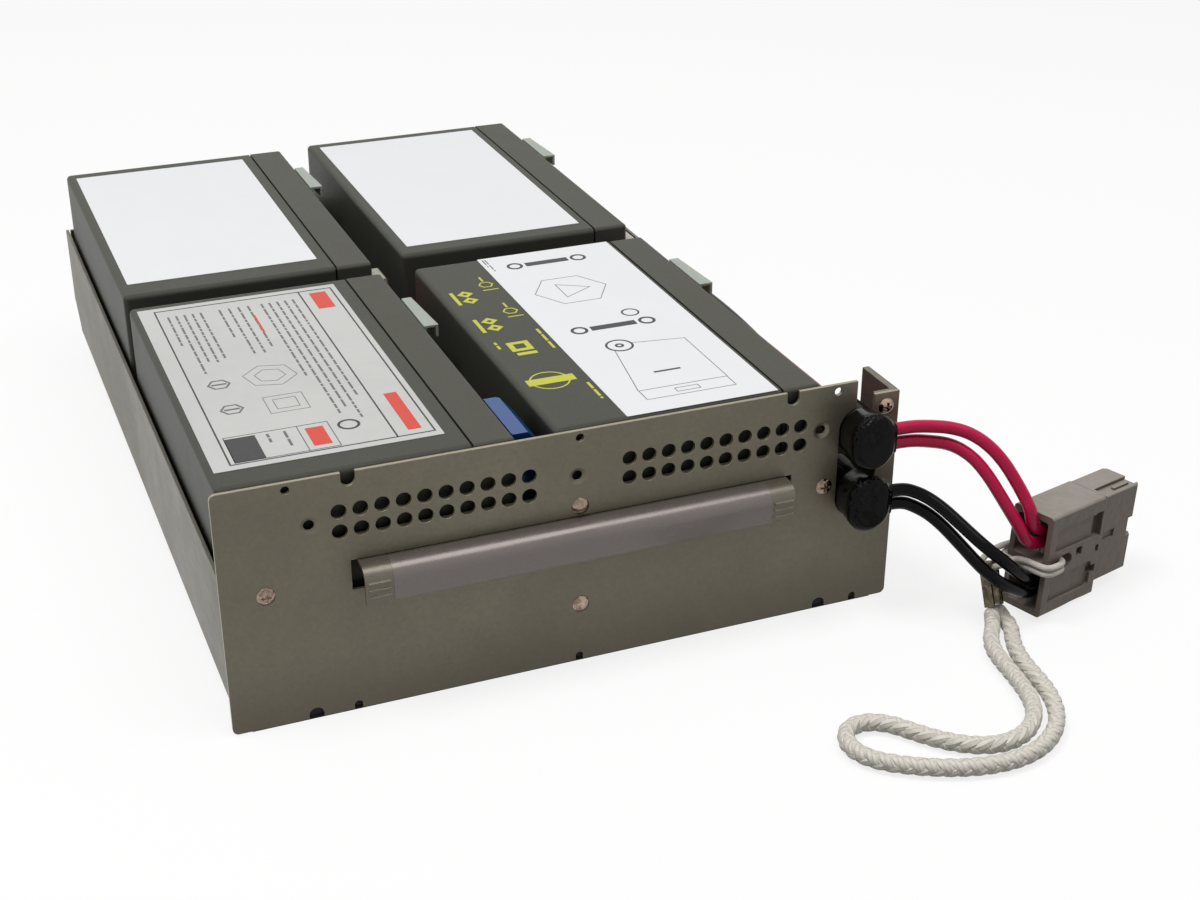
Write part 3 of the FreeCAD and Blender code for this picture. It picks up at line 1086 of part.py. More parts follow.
# ---- assembly ----
def build():
    """Every piece of the cartridge under its own name."""
    pieces = {
        "tray": make_tray(),
        "front_panel": make_front_panel(),
        "pull_handle": make_handle(),
        "handle_label": make_handle_label(),
        "panel_rivets": make_rivets(),
        "panel_screws": make_panel_screws(),
        "bracket_screw": make_bracket_screw(),
        "corner_bracket": make_corner_bracket(),
        "red_cable_boot": make_boot(BOOT_Z[0], (RED_WIRE_UPPER[0][2], RED_WIRE_LOWER[0][2])),
        "black_cable_boot": make_boot(BOOT_Z[1], (BLACK_WIRE_UPPER[0][2], BLACK_WIRE_LOWER[0][2])),
        "foam_pads": make_foam(),
        "terminal_cover": make_terminal_cover(),
        "connector_housing": make_plug_housing(),
        "rope_clip": make_rope_clip(),
        "tie_cord": make_tie(),
        "pull_rope": tube("pull_rope", PULL_ROPE, ROPE_DIAMETER),
        "red_wire_upper": tube("red_wire_upper", RED_WIRE_UPPER, WIRE_DIAMETER),
        "red_wire_lower": tube("red_wire_lower", RED_WIRE_LOWER, WIRE_DIAMETER),
        "black_wire_upper": tube("black_wire_upper", BLACK_WIRE_UPPER, WIRE_DIAMETER),
        "black_wire_lower": tube("black_wire_lower", BLACK_WIRE_LOWER, WIRE_DIAMETER),
        "jumper_left": tube("jumper_left", JUMPER_LEFT, LEAD_DIAMETER),
        "jumper_right": tube("jumper_right", JUMPER_RIGHT, LEAD_DIAMETER),
        "lead_black_left": tube("lead_black_left", LEAD_BLACK_LEFT, LEAD_DIAMETER),
        "lead_red_left": tube("lead_red_left", LEAD_RED_LEFT, LEAD_DIAMETER),
        "lead_black_right": tube("lead_black_right", LEAD_BLACK_RIGHT, LEAD_DIAMETER),
        "lead_red_right": tube("lead_red_right", LEAD_RED_RIGHT, LEAD_DIAMETER),
    }
    for side, colour in ((1, "red"), (-1, "black")):
        pieces[f"contact_{colour}"] = make_contact(side)
        pieces[f"contact_spring_{colour}"] = make_contact_spring(side)
    for key, (x, y, way) in BATTERIES.items():
        pieces[f"battery_case_{key}"] = make_case(x, y)
        pieces[f"battery_lid_{key}"] = make_lid(x, y)
        pieces[f"vent_cover_{key}"] = make_vent_cover(x, y)
        pieces[f"terminal_tabs_{key}"] = make_tabs(x, y)
        pieces[f"terminal_sleeves_{key}"] = make_sleeves(x, y, way)
        pieces[f"battery_label_{key}"] = make_label(key, x, y)
        pieces[f"wire_guide_{key}"] = make_guide(x, y)
    return pieces


os.makedirs("parts", exist_ok=True)
for node, shape in build().items():
    if not shape.isValid():
        print(f"{node} is not valid")
    shape.exportStep(os.path.join("parts", node + ".step"))
    bounds = shape.BoundBox
    print(f"{node}: {len(shape.Solids)} solids, volume {shape.Volume:.0f}, "
          f"x {bounds.XMin:.1f} {bounds.XMax:.1f}, y {bounds.YMin:.1f} {bounds.YMax:.1f}, "
          f"z {bounds.ZMin:.1f} {bounds.ZMax:.1f}")
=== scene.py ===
"""Looks of a replacement battery cartridge for a rack power supply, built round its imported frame.

Run as a script in Blender 4.5. All lengths are in metres, in the frame's own axes: +X to the right along the
front panel, +Y from the panel to the back of the tray, +Z up.
"""
import math
import random

import bmesh
import bpy
from mathutils import Matrix, Vector, noise


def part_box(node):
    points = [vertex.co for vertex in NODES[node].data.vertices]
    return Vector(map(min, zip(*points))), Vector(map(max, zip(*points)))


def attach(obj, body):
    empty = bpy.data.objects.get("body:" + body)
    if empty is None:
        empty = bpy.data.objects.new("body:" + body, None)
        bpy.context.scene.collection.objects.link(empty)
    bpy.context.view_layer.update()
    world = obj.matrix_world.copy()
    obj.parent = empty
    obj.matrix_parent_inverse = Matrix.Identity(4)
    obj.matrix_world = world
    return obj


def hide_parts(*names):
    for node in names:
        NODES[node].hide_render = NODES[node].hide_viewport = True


bl_info = {
    "name": "Battery cartridge",
    "version": (1, 0, 0),
    "blender": (4, 5, 0),
    "location": "View3D > Sidebar > Cartridge",
    "description": "Dresses a battery cartridge with its cables, rope, labels and finishes",
    "category": "Object",
}

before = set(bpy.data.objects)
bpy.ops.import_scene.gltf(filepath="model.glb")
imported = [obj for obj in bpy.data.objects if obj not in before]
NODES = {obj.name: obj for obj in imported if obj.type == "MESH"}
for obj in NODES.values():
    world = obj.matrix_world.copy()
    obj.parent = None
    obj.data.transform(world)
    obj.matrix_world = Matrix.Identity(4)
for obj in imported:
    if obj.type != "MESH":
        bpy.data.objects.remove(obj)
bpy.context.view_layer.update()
MM = 0.001
BATTERIES = ("front_left", "front_right", "rear_left", "rear_right")
# each finish that all four batteries share, and the start of its nodes' names
BATTERY_PARTS = {"case": "battery_case", "lid": "battery_lid", "valve cover": "vent_cover",
                 "terminal": "terminal_tabs", "sleeve": "terminal_sleeves", "guide": "wire_guide"}


def chart(red, green, blue):
    """Linear colour from the 0 to 255 values of a printed colour chart."""
    return tuple((c / 255 / 12.92) if c < 11 else ((c / 255 + 0.055) / 1.055) ** 2.4 for c in (red, green, blue))


def mm(*values):
    """Millimetres as metres."""
    return tuple(v * MM for v in values)


# ---- cord routes: the same listed points as the part's, in metres ----
RED_WIRE_UPPER = [
    (.1086, -.1648, .0697), (.1146, -.1648, .0697), (.1222, -.1654, .0687), (.1290, -.1670, .0677),
    (.1348, -.1698, .0660), (.1398, -.1738, .0626), (.1438, -.1780, .0575), (.1468, -.1816, .0515),
    (.1493, -.1846, .0458), (.1504, -.1872, .0419), (.1513, -.1873, .0370), (.1542, -.1865, .0339),
    (.1581, -.1851, .0324), (.1622, -.1837, .0320)]
RED_WIRE_LOWER = [
    (.1086, -.1648, .0646), (.1146, -.1648, .0646), (.1227, -.1654, .0630), (.1284, -.1670, .0619),
    (.1327, -.1698, .0600), (.1362, -.1738, .0569), (.1391, -.1780, .0520), (.1420, -.1816, .0460),
    (.1444, -.1846, .0409), (.1474, -.1867, .0354), (.1496, -.1873, .0307), (.1536, -.1864, .0282),
    (.1578, -.1852, .0275), (.1620, -.1838, .0272)]
BLACK_WIRE_UPPER = [
    (.1086, -.1648, .0466), (.1138, -.1648, .0466), (.1186, -.1664, .0449), (.1222, -.1688, .0430),
    (.1253, -.1730, .0406), (.1282, -.1780, .0375), (.1308, -.1834, .0345), (.1341, -.1886, .0311),
    (.1392, -.1916, .0268), (.1475, -.1905, .0189), (.1522, -.1883, .0156), (.1568, -.1857, .0144),
    (.1613, -.1840, .0140)]
BLACK_WIRE_LOWER = [
    (.1086, -.1648, .0416), (.1136, -.1648, .0416), (.1182, -.1664, .0396), (.1220, -.1690, .0374),
    (.1249, -.1740, .0347), (.1277, -.1808, .0307), (.1303, -.1866, .0268), (.1331, -.1908, .0234),
    (.1375, -.1926, .0194), (.1470, -.1907, .0131), (.1520, -.1884, .0104), (.1565, -.1858, .0095),
    (.1610, -.1841, .0092)]
PULL_ROPE = [
    (.1363, -.1905, .0088), (.1365, -.1913, .0065), (.1358, -.1930, .0046), (.1342, -.1956, .0032),
    (.1310, -.1996, .0030), (.1282, -.2058, .0030), (.1268, -.2142, .0030), (.1258, -.2236, .0030),
    (.1240, -.2334, .0030), (.1202, -.2422, .0030), (.1134, -.2490, .0030), (.1044, -.2522, .0030),
    (.0952, -.2506, .0030), (.0872, -.2452, .0030), (.0808, -.2378, .0030), (.0752, -.2298, .0030),
    (.0688, -.2259, .0030), (.0620, -.2266, .0030), (.0579, -.2316, .0030), (.0577, -.2384, .0030),
    (.0612, -.2446, .0030), (.0674, -.2496, .0030), (.0752, -.2542, .0030), (.0840, -.2580, .0030),
    (.0934, -.2602, .0030), (.1034, -.2604, .0030), (.1136, -.2574, .0030), (.1224, -.2508, .0030),
    (.1286, -.2414, .0030), (.1318, -.2304, .0030), (.1328, -.2190, .0030), (.1348, -.2092, .0030),
    (.1380, -.2020, .0030), (.1409, -.1972, .0030), (.1420, -.1930, .0031), (.1415, -.1902, .0039),
    (.1411, -.1885, .0052), (.1414, -.1873, .0072)]
# each wire's route, its length and what it carries at its far end
WIRES = {
    "red_wire_upper": (RED_WIRE_UPPER, 0.0793, ("connector_housing", "contact_spring_red")),
    "red_wire_lower": (RED_WIRE_LOWER, 0.0781, ("contact_red",)),
    "black_wire_upper": (BLACK_WIRE_UPPER, 0.0760, ("contact_black",)),
    "black_wire_lower": (BLACK_WIRE_LOWER, 0.0772, ("contact_spring_black",)),
}
WIRE_DIAMETER = 0.0044
ROPE_DIAMETER = 0.0058
TIE_DIAMETER = 0.0022
# the two turns of the tie, in millimetres in the connector's own axes
TIE_TURNS = [
    [(8.5, 0.3, -1.2), (8.5, -7.8, -1.2), (6.4, -9.9, -1.2), (3.0, -10.0, -1.2), (-0.1, -9.9, -1.2),
     (-1.7, -8.3, -1.2), (-1.8, -4.2, -1.3), (-1.7, 0.4, -1.2), (-1.8, 4.6, -1.1), (-1.7, 8.3, -1.0),
     (-0.1, 9.9, -0.9), (3.0, 10.0, -1.0), (6.4, 9.9, -1.1), (8.5, 7.8, -1.2), (8.5, 0.9, -1.2)],
    [(8.5, 0.3, 1.2), (8.5, -7.8, 1.2), (6.4, -9.9, 1.2), (3.0, -10.0, 1.2), (-0.2, -9.9, 1.2),
     (-1.9, -8.2, 1.2), (-2.0, -4.2, 1.2), (-2.3, -0.4, 1.2), (-4.2, 2.6, 0.9), (-7.8, 3.0, 0.2),
     (-11.2, 3.9, -0.7), (-13.0, 8.6, -2.6), (-10.6, 11.4, -1.8), (-6.0, 11.8, -0.2), (-1.6, 11.0, 1.3),
     (2.4, 10.1, 1.6), (6.4, 9.9, 1.3), (8.5, 7.8, 1.2), (8.5, 0.9, 1.2)]]
TIE_LENGTHS = (0.0542, 0.0736)
# where the connector lies, as a matrix from its own axes
PLUG = (Matrix.Translation(mm(152.65, -185.4, 21.1)) @ Matrix.Rotation(math.radians(18.4), 4, "Z")
        @ Matrix.Rotation(math.radians(3.2), 4, "Y"))

# ---- sizes and places of the details, the camera, the lamps and the floor, in metres ----
BRAID_STEP = 0.0007  # between the outlines of a strand
WORD_GAP = 0.9 * MM  # between two printed dashes
# height of the shade painted on the panel's foot
FOOT_SHADE_HEIGHT = 0.028  # of the panel's darker foot
SLEEVE_ENDS = (-0.142, 0.004)  # Y places between which the sleeved lead is black
BOOT_VOXEL = 0.00042  # grid that a boot's skin is made on
BOOT_SMOOTHING = 3  # times that the skin is smoothed
BOOT_WIDTH = 0.0165  # of a boot's body, without its side outlets
DENTS_FROM = -0.1565  # Y place just in front of the panel, where a boot's dents begin
DENTS_FADE = 0.003  # length over which they grow to their full depth
DENT_DEPTH = 0.0002
FOLD_TURN = math.radians(118)  # where round the rim the folds are deepest, from +X towards +Z
RIM_SETBACK, RIM_WIDTH = 0.0015, 0.0022  # middle and width of the folded band behind a boot's front
FOLD_SCALES, DENT_SCALES = (620, 1300), (140, 330)  # broad and fine unevenness, in lumps to the metre
SENSOR_WIDTH, CAMERA_LENS = 36.0, 55.904  # in millimetres
CLIP_START = 0.02
CAMERA_PLACE = (-0.18983, -0.64146, 0.34156)
CAMERA_ANGLES = (90 - 26.785, -0.044, -22.059)  # in degrees
LAMPS = (("key", (-0.6, -0.1, 1.8), 0.6), ("top", (0.35, -0.5, 1.55), 0.8))  # setting, place, size
LAMPS_AIM = Vector((0.02, -0.03, 0.03))
ROOM_COLOUR = (1.0, 0.995, 0.985, 1.0)
FLOOR_SIZE, FLOOR_HEIGHT = 6.0, -0.0003
RISER_INSET = 0.02  # from the tray's sides to the riser's
RISER_FOOT, RISER_GAP = 0.0001, 0.0002  # height of its underside, and from its top to the tray
# The dark strips are painted shadow: one behind the panel, one on the floor under its notches.
STRIP_INSET, STRIP_DEPTH, STRIP_GAP = 0.006, 0.003, 0.0001  # of the dark strips, from the panel's ends and back
NOTCH_SHADOW_HEIGHTS = (-0.00025, -0.00005)  # of the strip that lies under the panel's notches


# ---- what a user would change ----
def colour(label, help_text, value):
    return bpy.props.FloatVectorProperty(name=label, description=help_text, subtype="COLOR", size=3, min=0, max=1,
                                         default=value)


def number(label, help_text, value, **kind):
    return bpy.props.FloatProperty(name=label, description=help_text, min=0, default=value, **kind)


def distance(label, help_text, value):
    return number(label, help_text, value, unit="LENGTH", subtype="DISTANCE", precision=5)


class CartridgeColours(bpy.types.PropertyGroup):
    """Base colours of the finishes"""
    sheet: colour("Sheet steel", "Galvanised tray, panel and bracket", chart(118, 112, 97))
    handle: colour("Handle steel", "Bent pull handle", chart(112, 106, 94))
    foil: colour("Foil", "Silver film of the handle label", chart(118, 110, 107))
    battery: colour("Battery case", "Moulded battery cases", chart(70, 71, 63))
    lid: colour("Battery lid", "Moulded battery lids", chart(75, 75, 67))
    paper: colour("Paper label", "White battery labels", chart(229, 230, 232))
    guide: colour("Wire guide", "Moulded channels on the battery edges", chart(166, 171, 160))
    cover: colour("Terminal cover", "Blue hood over one terminal", chart(30, 75, 136))
    boot: colour("Cable boot", "Black vinyl of the cable boots", chart(9, 9, 9))
    red: colour("Red wire", "Red insulation", chart(188, 8, 70))
    black: colour("Black wire", "Black insulation", chart(9, 9, 11))
    connector: colour("Connector", "Moulded connector housing", chart(146, 140, 132))
    rope: colour("Rope", "Braided rope and tie", chart(216, 211, 200))
    screw: colour("Fasteners", "Plated screws and rivets", chart(168, 148, 132))


class CartridgeSizes(bpy.types.PropertyGroup):
    """Sizes of the details that the looks add"""
    edge: distance("Edge rounding", "How wide the light catches on pressed and moulded edges", 0.00035)
    ink: distance("Ink thickness", "How far the print stands on the labels", 0.00004)
    braid_lead: distance("Braid lead", "Length of one turn of a strand round the rope", 0.0172)
    crumple: distance("Boot crumple", "Depth of the wrinkles at the rim of the cable boots", 0.0009)


class CartridgeStage(bpy.types.PropertyGroup):
    """Light and floor"""
    world: number("Room light", "Strength of the even light", 0.3)
    key: number("Key lamp", "Power of the large lamp", 18, subtype="POWER")
    top: number("Top lamp", "Power of the lamp overhead", 6.5, subtype="POWER")
    floor: colour("Floor", "Floor", (0.95, 0.95, 0.95))
    floor_white: number("Floor white", "How far the floor shows as plain white", 0.8, max=1)
    bounce: number("Floor bounce", "How much of its light the floor throws back", 0.3, max=1)


class Cartridge(bpy.types.PropertyGroup):
    """All settings of the cartridge's looks"""
    colours: bpy.props.PointerProperty(type=CartridgeColours, name="Colours")
    sizes: bpy.props.PointerProperty(type=CartridgeSizes, name="Sizes")
    stage: bpy.props.PointerProperty(type=CartridgeStage, name="Stage")


# ---- node bench ----
class Bench:
    """Short ways to add nodes to one node tree and join them."""

    def __init__(self, tree):
        self.tree = tree

    def add(self, kind, plugs=None, outlet=0, **settings):
        """One output of a new node. plugs names its sockets, each with a value or another node's output."""
        node = self.tree.nodes.new("ShaderNode" + kind)
        for name, value in settings.items():
            setattr(node, name, value)
        for name, value in (plugs or {}).items():
            self.plug(value, node.inputs[name])
        return node.outputs[outlet]

    def plug(self, value, socket):
        if isinstance(value, bpy.types.NodeSocket):
            self.tree.links.new(value, socket)
        else:
            socket.default_value = value

    def sum(self, operation, *values):
        """A Math node's value."""
        return self.add("Math", dict(enumerate(values)), operation=operation)

    def times(self, value, factor):
        return self.sum("MULTIPLY", value, factor)

    def line(self, value, gain, start):
        """The value times a gain, from a start."""
        return self.sum("MULTIPLY_ADD", value, gain, start)

    def spread(self, value, low, high, out_low=0.0, out_high=1.0):
        """The value's span from low to high, eased to another span."""
        plugs = {"Value": value, "From Min": low, "From Max": high, "To Min": out_low, "To Max": out_high}
        return self.add("MapRange", plugs, interpolation_type="SMOOTHSTEP")

    def blend(self, mask, first, second):
        """Two colours mixed by a mask."""
        return self.add("Mix", {0: mask, 6: first, 7: second}, outlet=2, data_type="RGBA")

    def place(self):
        """The place on the object, in its own axes."""
        return self.add("TexCoord", outlet="Object")

    def axis(self, vector, index):
        """One axis of a vector."""
        return self.add("SeparateXYZ", {0: vector}, outlet=index)

    def facing(self, index):
        """How far the surface faces along one axis."""
        return self.axis(self.add("NewGeometry", outlet="Normal"), index)

    def seen(self):
        """1 for what the camera sees, straight, in a reflection or through something clear."""
        path = self.add("LightPath").node.outputs
        return self.sum("MAXIMUM", path["Is Camera Ray"],
                        self.sum("MAXIMUM", path["Is Glossy Ray"], path["Is Transmission Ray"]))

    def use(self, name, **values):
        """The output of an effect, or all its outputs where it has several, placed with its own values."""
        node = self.tree.nodes.new("ShaderNodeGroup")
        node.node_tree = effects()[name]
        for label, value in values.items():
            self.plug(value, node.inputs[label])
        return node.outputs[0] if len(node.outputs) == 1 else node.outputs


def grain_effect(bench, entry):
    """Fine moulded or brushed grain; Stretch draws it out along an axis."""
    place = bench.add("VectorMath", {0: bench.place(), 1: entry["Stretch"]}, operation="MULTIPLY")
    grain = bench.add("TexNoise", {"Vector": place, "Scale": entry["Scale"], "Detail": entry["Detail"],
                                   "Roughness": 0.6})
    return {"Value": bench.spread(grain, 0.25, 0.75)}


def edge_effect(bench, entry):
    """Softly rounded edges for the light to catch, and a mask of the worn edge itself."""
    rounded = bench.add("Bevel", {"Radius": entry["Radius"]}, samples=4)
    flat = bench.add("NewGeometry", outlet="Normal")
    likeness = bench.add("VectorMath", {0: rounded, 1: flat}, outlet="Value", operation="DOT_PRODUCT")
    chips = bench.add("TexNoise", {"Vector": bench.place(), "Scale": 260.0})
    worn = bench.times(bench.spread(likeness, 0.985, 0.80), bench.spread(chips, 0.3, 0.6))
    return {"Normal": rounded, "Edge": worn}


def soil_effect(bench, entry):
    """Uneven patches, such as handling marks, dust or a dull bloom."""
    place, scale = bench.place(), entry["Scale"]
    broad = bench.add("TexNoise", {"Vector": place, "Scale": scale, "Detail": 5.0, "Distortion": 0.6})
    fine = bench.add("TexNoise", {"Vector": place, "Scale": bench.times(scale, 9.0), "Detail": 2.0})
    both = bench.line(broad, 0.75, bench.times(fine, 0.25))
    edge = bench.sum("SUBTRACT", 1.0, entry["Cover"])
    return {"Mask": bench.spread(both, bench.sum("SUBTRACT", edge, 0.18), bench.sum("ADD", edge, 0.18))}


def spangle_effect(bench, entry):
    """The patchy crystals of a zinc coat."""
    cells = bench.add("TexVoronoi", {"Vector": bench.place(), "Scale": entry["Scale"]}, outlet="Color")
    return {"Value": bench.add("RGBToBW", {0: cells})}


def yarn_effect(bench, entry):
    """Fine parallel yarns that run along a strand, slightly twisted."""
    around, along = bench.axis(bench.add("UVMap"), 0).node.outputs[:2]
    turns = bench.line(around, entry["Yarns"], bench.times(along, entry["Twist"]))
    wave = bench.sum("ABSOLUTE", bench.sum("SINE", bench.times(turns, math.pi)))
    fuzz = bench.add("TexNoise", {"Vector": bench.place(), "Scale": 2600.0, "Detail": 3.0})
    return {"Height": bench.line(fuzz, 0.35, bench.sum("POWER", wave, 0.6)), "Gap": bench.spread(wave, 0.5, 0.0)}


def effect(name, fill, **inputs):
    """An effect group with the named inputs, filled by a function that gives its outputs."""
    group = bpy.data.node_groups.new(name, "ShaderNodeTree")
    for label, value in inputs.items():
        kind = "NodeSocketVector" if isinstance(value, tuple) else "NodeSocketFloat"
        group.interface.new_socket(label, in_out="INPUT", socket_type=kind).default_value = value
    bench = Bench(group)
    outputs = fill(bench, group.nodes.new("NodeGroupInput").outputs)
    for label, value in outputs.items():
        kind = "NodeSocketVector" if value.type == "VECTOR" else "NodeSocketFloat"
        group.interface.new_socket(label, in_out="OUTPUT", socket_type=kind)
    leaving = group.nodes.new("NodeGroupOutput").inputs
    for label, value in outputs.items():
        bench.plug(value, leaving[label])
    return group


EFFECTS = {}


def effects():
    """The shared effects, built once."""
    if not EFFECTS:
        EFFECTS.update(
            grain=effect("Grain", grain_effect, Scale=900.0, Stretch=(1.0, 1.0, 1.0), Detail=3.0),
            edges=effect("Edges", edge_effect, Radius=0.0004),
            soil=effect("Soil", soil_effect, Scale=18.0, Cover=0.5),
            spangle=effect("Spangle", spangle_effect, Scale=800.0),
            yarns=effect("Yarns", yarn_effect, Yarns=7.0, Twist=300.0))
    return EFFECTS


# ---- finishes ----
def tint(colour_value, factor):
    """A lighter or darker form of a colour, with alpha."""
    return tuple(min(1.0, c * factor) for c in colour_value[:3]) + (1.0,)


class Finish(Bench):
    """A new material and its bench. Where a blend takes a colour, a number stands for a tint of the base."""

    def __init__(self, name, base, **plain):
        self.base = base
        self.material = bpy.data.materials.new(name)
        self.material.use_nodes = True
        super().__init__(self.material.node_tree)
        self.shader = self.tree.nodes["Principled BSDF"]
        for label, value in plain.items():
            self.shader.inputs[label.replace("_", " ")].default_value = value

    def grain(self, scale, **values):
        return self.use("grain", Scale=scale, **values)

    def soil(self, scale, cover):
        return self.use("soil", Scale=scale, Cover=cover)

    def edges(self, radius=None):
        """The rounded normal and the mask of worn edges."""
        radius = bpy.context.scene.cartridge.sizes.edge if radius is None else radius
        return self.use("edges", Radius=radius)

    def blend(self, mask, first, second):
        first, second = (tint(self.base, c) if isinstance(c, float) else c for c in (first, second))
        return super().blend(mask, first, second)

    def fade(self, mask, share, first, second):
        """Two colours mixed by a share of a mask."""
        return self.blend(self.times(mask, share), first, second)

    def done(self, body, rough, *relief, **normal):
        """The material, with its colour, its roughness and its relief's height, depth and strength plugged in."""
        self.plug(body, self.shader.inputs["Base Color"])
        self.plug(rough, self.shader.inputs["Roughness"])
        if relief:
            plugs = dict(zip(("Height", "Distance", "Strength"), relief), **normal)
            self.plug(self.add("Bump", plugs), self.shader.inputs["Normal"])
        return self.material


def moulded(name, base, roughness=0.5, grain=1500.0, depth=0.00003, edge=None, gloss=0.3, recess=0.0, dirt_and_side_shade=None,
            **plain):
    """Moulded plastic: eroded grain, faint handling marks and rubbed edges.

    Hollows within a set reach get painted shade; a dirt colour gives streaks of dirt and, darker,
    painted shade on steep faces.
    """
    skin = Finish(name, base, Specular_IOR_Level=gloss, **plain)
    speck, marks = skin.grain(grain), skin.soil(22.0, 0.35)
    normal, worn = skin.edges(edge)
    body = skin.fade(marks, 0.5, 0.94, 1.12)
    body = skin.fade(speck, 0.35, body, 0.86)
    body = skin.fade(worn, 0.4, body, 1.7)
    # Painted shade: the colour darkens in hollows, where ambient occlusion finds little open sky.
    if recess:
        open_sky = skin.add("AmbientOcclusion", {"Distance": recess}, outlet="AO", samples=6)
        body = skin.blend(skin.spread(open_sky, 0.1, 0.55), 0.12, body)
    if dirt_and_side_shade:
        body = skin.fade(skin.soil(42.0, 0.42), 0.6, body, tint(dirt_and_side_shade, 1.0))
        # Painted shade: steep faces are darker and warmer, as if lit from above; the line before adds real dirt
        # streaks.
        body = skin.blend(skin.spread(skin.facing(2), 0.7, 0.2, 0.0, 0.75), body, tint(dirt_and_side_shade, 0.55))
    rough = skin.line(marks, 0.10, skin.line(speck, 0.08, roughness - 0.06))
    return skin.done(body, rough, speck, depth, 0.6, Normal=normal)


def sheet_steel(name, base, brushing=(1.0, 14.0, 14.0), roughness=0.42, edge_gain=2.2, cut_highlight=False,
                metallic=0.62, foot_shade=0.0):
    """Galvanised sheet: faint crystals, drawn grain, dull patches and bright edges.

    One option paints a highlight on all that faces away from Y, the sheet's cut faces, and another paints shade
    that darkens the sheet towards the floor.
    """
    sheet = Finish(name, base, Metallic=metallic)
    drawn = sheet.grain(120.0, Stretch=brushing, Detail=4.0)
    crystals = sheet.use("spangle")
    dull, stains = sheet.soil(7.0, 0.52), sheet.soil(34.0, 0.30)
    normal, worn = sheet.edges()
    if cut_highlight:
        # Painted highlight: the sheet's cut faces, all that faces away from Y, join the lightened edges.
        worn = sheet.sum("MAXIMUM", worn, sheet.spread(sheet.sum("ABSOLUTE", sheet.facing(1)), 0.7, 0.3))
    body = sheet.fade(drawn, 0.5, 0.88, 1.10)
    body = sheet.fade(crystals, 0.4, body, 1.3)
    body = sheet.fade(dull, 0.4, body, 0.80)
    body = sheet.fade(stains, 0.25, body, 0.66)
    # Painted shade: the sheet darkens towards the floor.
    if foot_shade:
        height = sheet.axis(sheet.place(), 2)
        body = sheet.blend(sheet.spread(height, FOOT_SHADE_HEIGHT, 0.0, 0.0, foot_shade), body, 0.4)
    # Edges lighten where worn, and on the cut faces as a painted highlight.
    body = sheet.blend(worn, body, edge_gain)
    rough = sheet.line(dull, 0.12, sheet.line(drawn, 0.10, roughness - 0.08))
    return sheet.done(body, sheet.line(worn, -0.15, rough), drawn, 0.00002, 0.5, Normal=normal)


def bright_metal(name, base, roughness, wear=0.5):
    """Plated or bare small metal, with hairline marks."""
    metal = Finish(name, base, Metallic=1.0)
    lines, dull = metal.grain(700.0, Stretch=(1.0, 6.0, 1.0)), metal.soil(380.0, 0.56)
    normal, worn = metal.edges(0.0002)
    body = metal.fade(dull, wear, 1.25, 0.3)
    body = metal.fade(worn, 0.5, body, 1.5)
    return metal.done(body, metal.line(lines, 0.12, roughness - 0.06), lines, 0.00001, 0.3, Normal=normal)


def foil(name, base, metallic, roughness, wrinkle=0.00005):
    """Satin metal film stuck down by hand: soft ripples and a slight bloom."""
    film = Finish(name, base, Metallic=metallic)
    ripple, bloom = film.grain(55.0, Stretch=(1.0, 3.0, 3.0), Detail=2.0), film.soil(30.0, 0.5)
    body = film.fade(bloom, 0.6, 0.95, 1.08)
    return film.done(body, film.line(bloom, 0.10, roughness), ripple, wrinkle, 0.5)


def printed_film(name, base):
    """Coated paper or film of a label, with very light mottling."""
    film = Finish(name, base)
    mottle, fibre = film.soil(48.0, 0.45), film.grain(1900.0)
    body = film.fade(mottle, 0.5, 0.985, 1.015)
    body = film.fade(fibre, 0.12, body, 0.93)
    return film.done(body, film.line(fibre, 0.08, 0.38), fibre, 0.000008, 0.4)


def insulation(name, base, roughness=0.26, gloss=0.22, sleeve=None):
    """Smooth wire insulation with faint draw marks and finger dust; a sleeve runs between two Y places."""
    skin = Finish(name, base, Specular_IOR_Level=gloss, Coat_Weight=0.04, Coat_Roughness=0.12)
    wave, dust = skin.grain(420.0, Detail=2.0), skin.soil(90.0, 0.42)
    body = skin.fade(dust, 0.35, 0.95, 1.22)
    if sleeve:
        along = skin.axis(skin.place(), 1)
        inside = skin.times(skin.sum("GREATER_THAN", along, sleeve[0]), skin.sum("LESS_THAN", along, sleeve[1]))
        body = skin.blend(inside, body, tint(bpy.context.scene.cartridge.colours.boot, 1.6))
    return skin.done(body, skin.line(dust, 0.14, roughness), wave, 0.00004, 0.35)


def vinyl(name, base):
    """Glossy dipped vinyl with soft dents."""
    skin = Finish(name, base, Specular_IOR_Level=0.04, Coat_Weight=0.1, Coat_Roughness=0.06)
    dents, haze = skin.grain(230.0), skin.soil(70.0, 0.45)
    return skin.done(skin.fade(haze, 0.6, 0.8, 1.5), skin.line(haze, 0.12, 0.2), dents, 0.0001, 0.35)


def cord_fibre(name, base, yarns=6.0, depth=0.00022):
    """White synthetic yarn with a soft sheen and slight soiling in its valleys."""
    cord = Finish(name, base, Sheen_Weight=0.35, Sheen_Roughness=0.4)
    height, gap = cord.use("yarns", Yarns=yarns)
    body = cord.fade(cord.soil(60.0, 0.4), 0.35, 1.03, 0.90)
    body = cord.fade(gap, 0.55, body, 0.66)
    return cord.done(body, cord.line(gap, 0.1, 0.5), height, depth, 0.7)


def foam_finish(name, base):
    """Closed-cell foam."""
    foam = Finish(name, base)
    cells = foam.add("TexVoronoi", {"Vector": foam.place(), "Scale": 900.0})
    body = foam.blend(foam.spread(cells, 0.1, 0.7), 0.7, 1.25)
    return foam.done(body, foam.line(foam.soil(50.0, 0.5), 0.1, 0.8), cells, 0.0002, 0.7)


def ink(name, base):
    """Screen-printed ink: slightly uneven cover."""
    coat = Finish(name, base)
    cover = coat.grain(1400.0)
    return coat.done(coat.fade(cover, 0.5, 0.92, 1.25), coat.line(cover, 0.1, 0.4))


FINISHES = {}


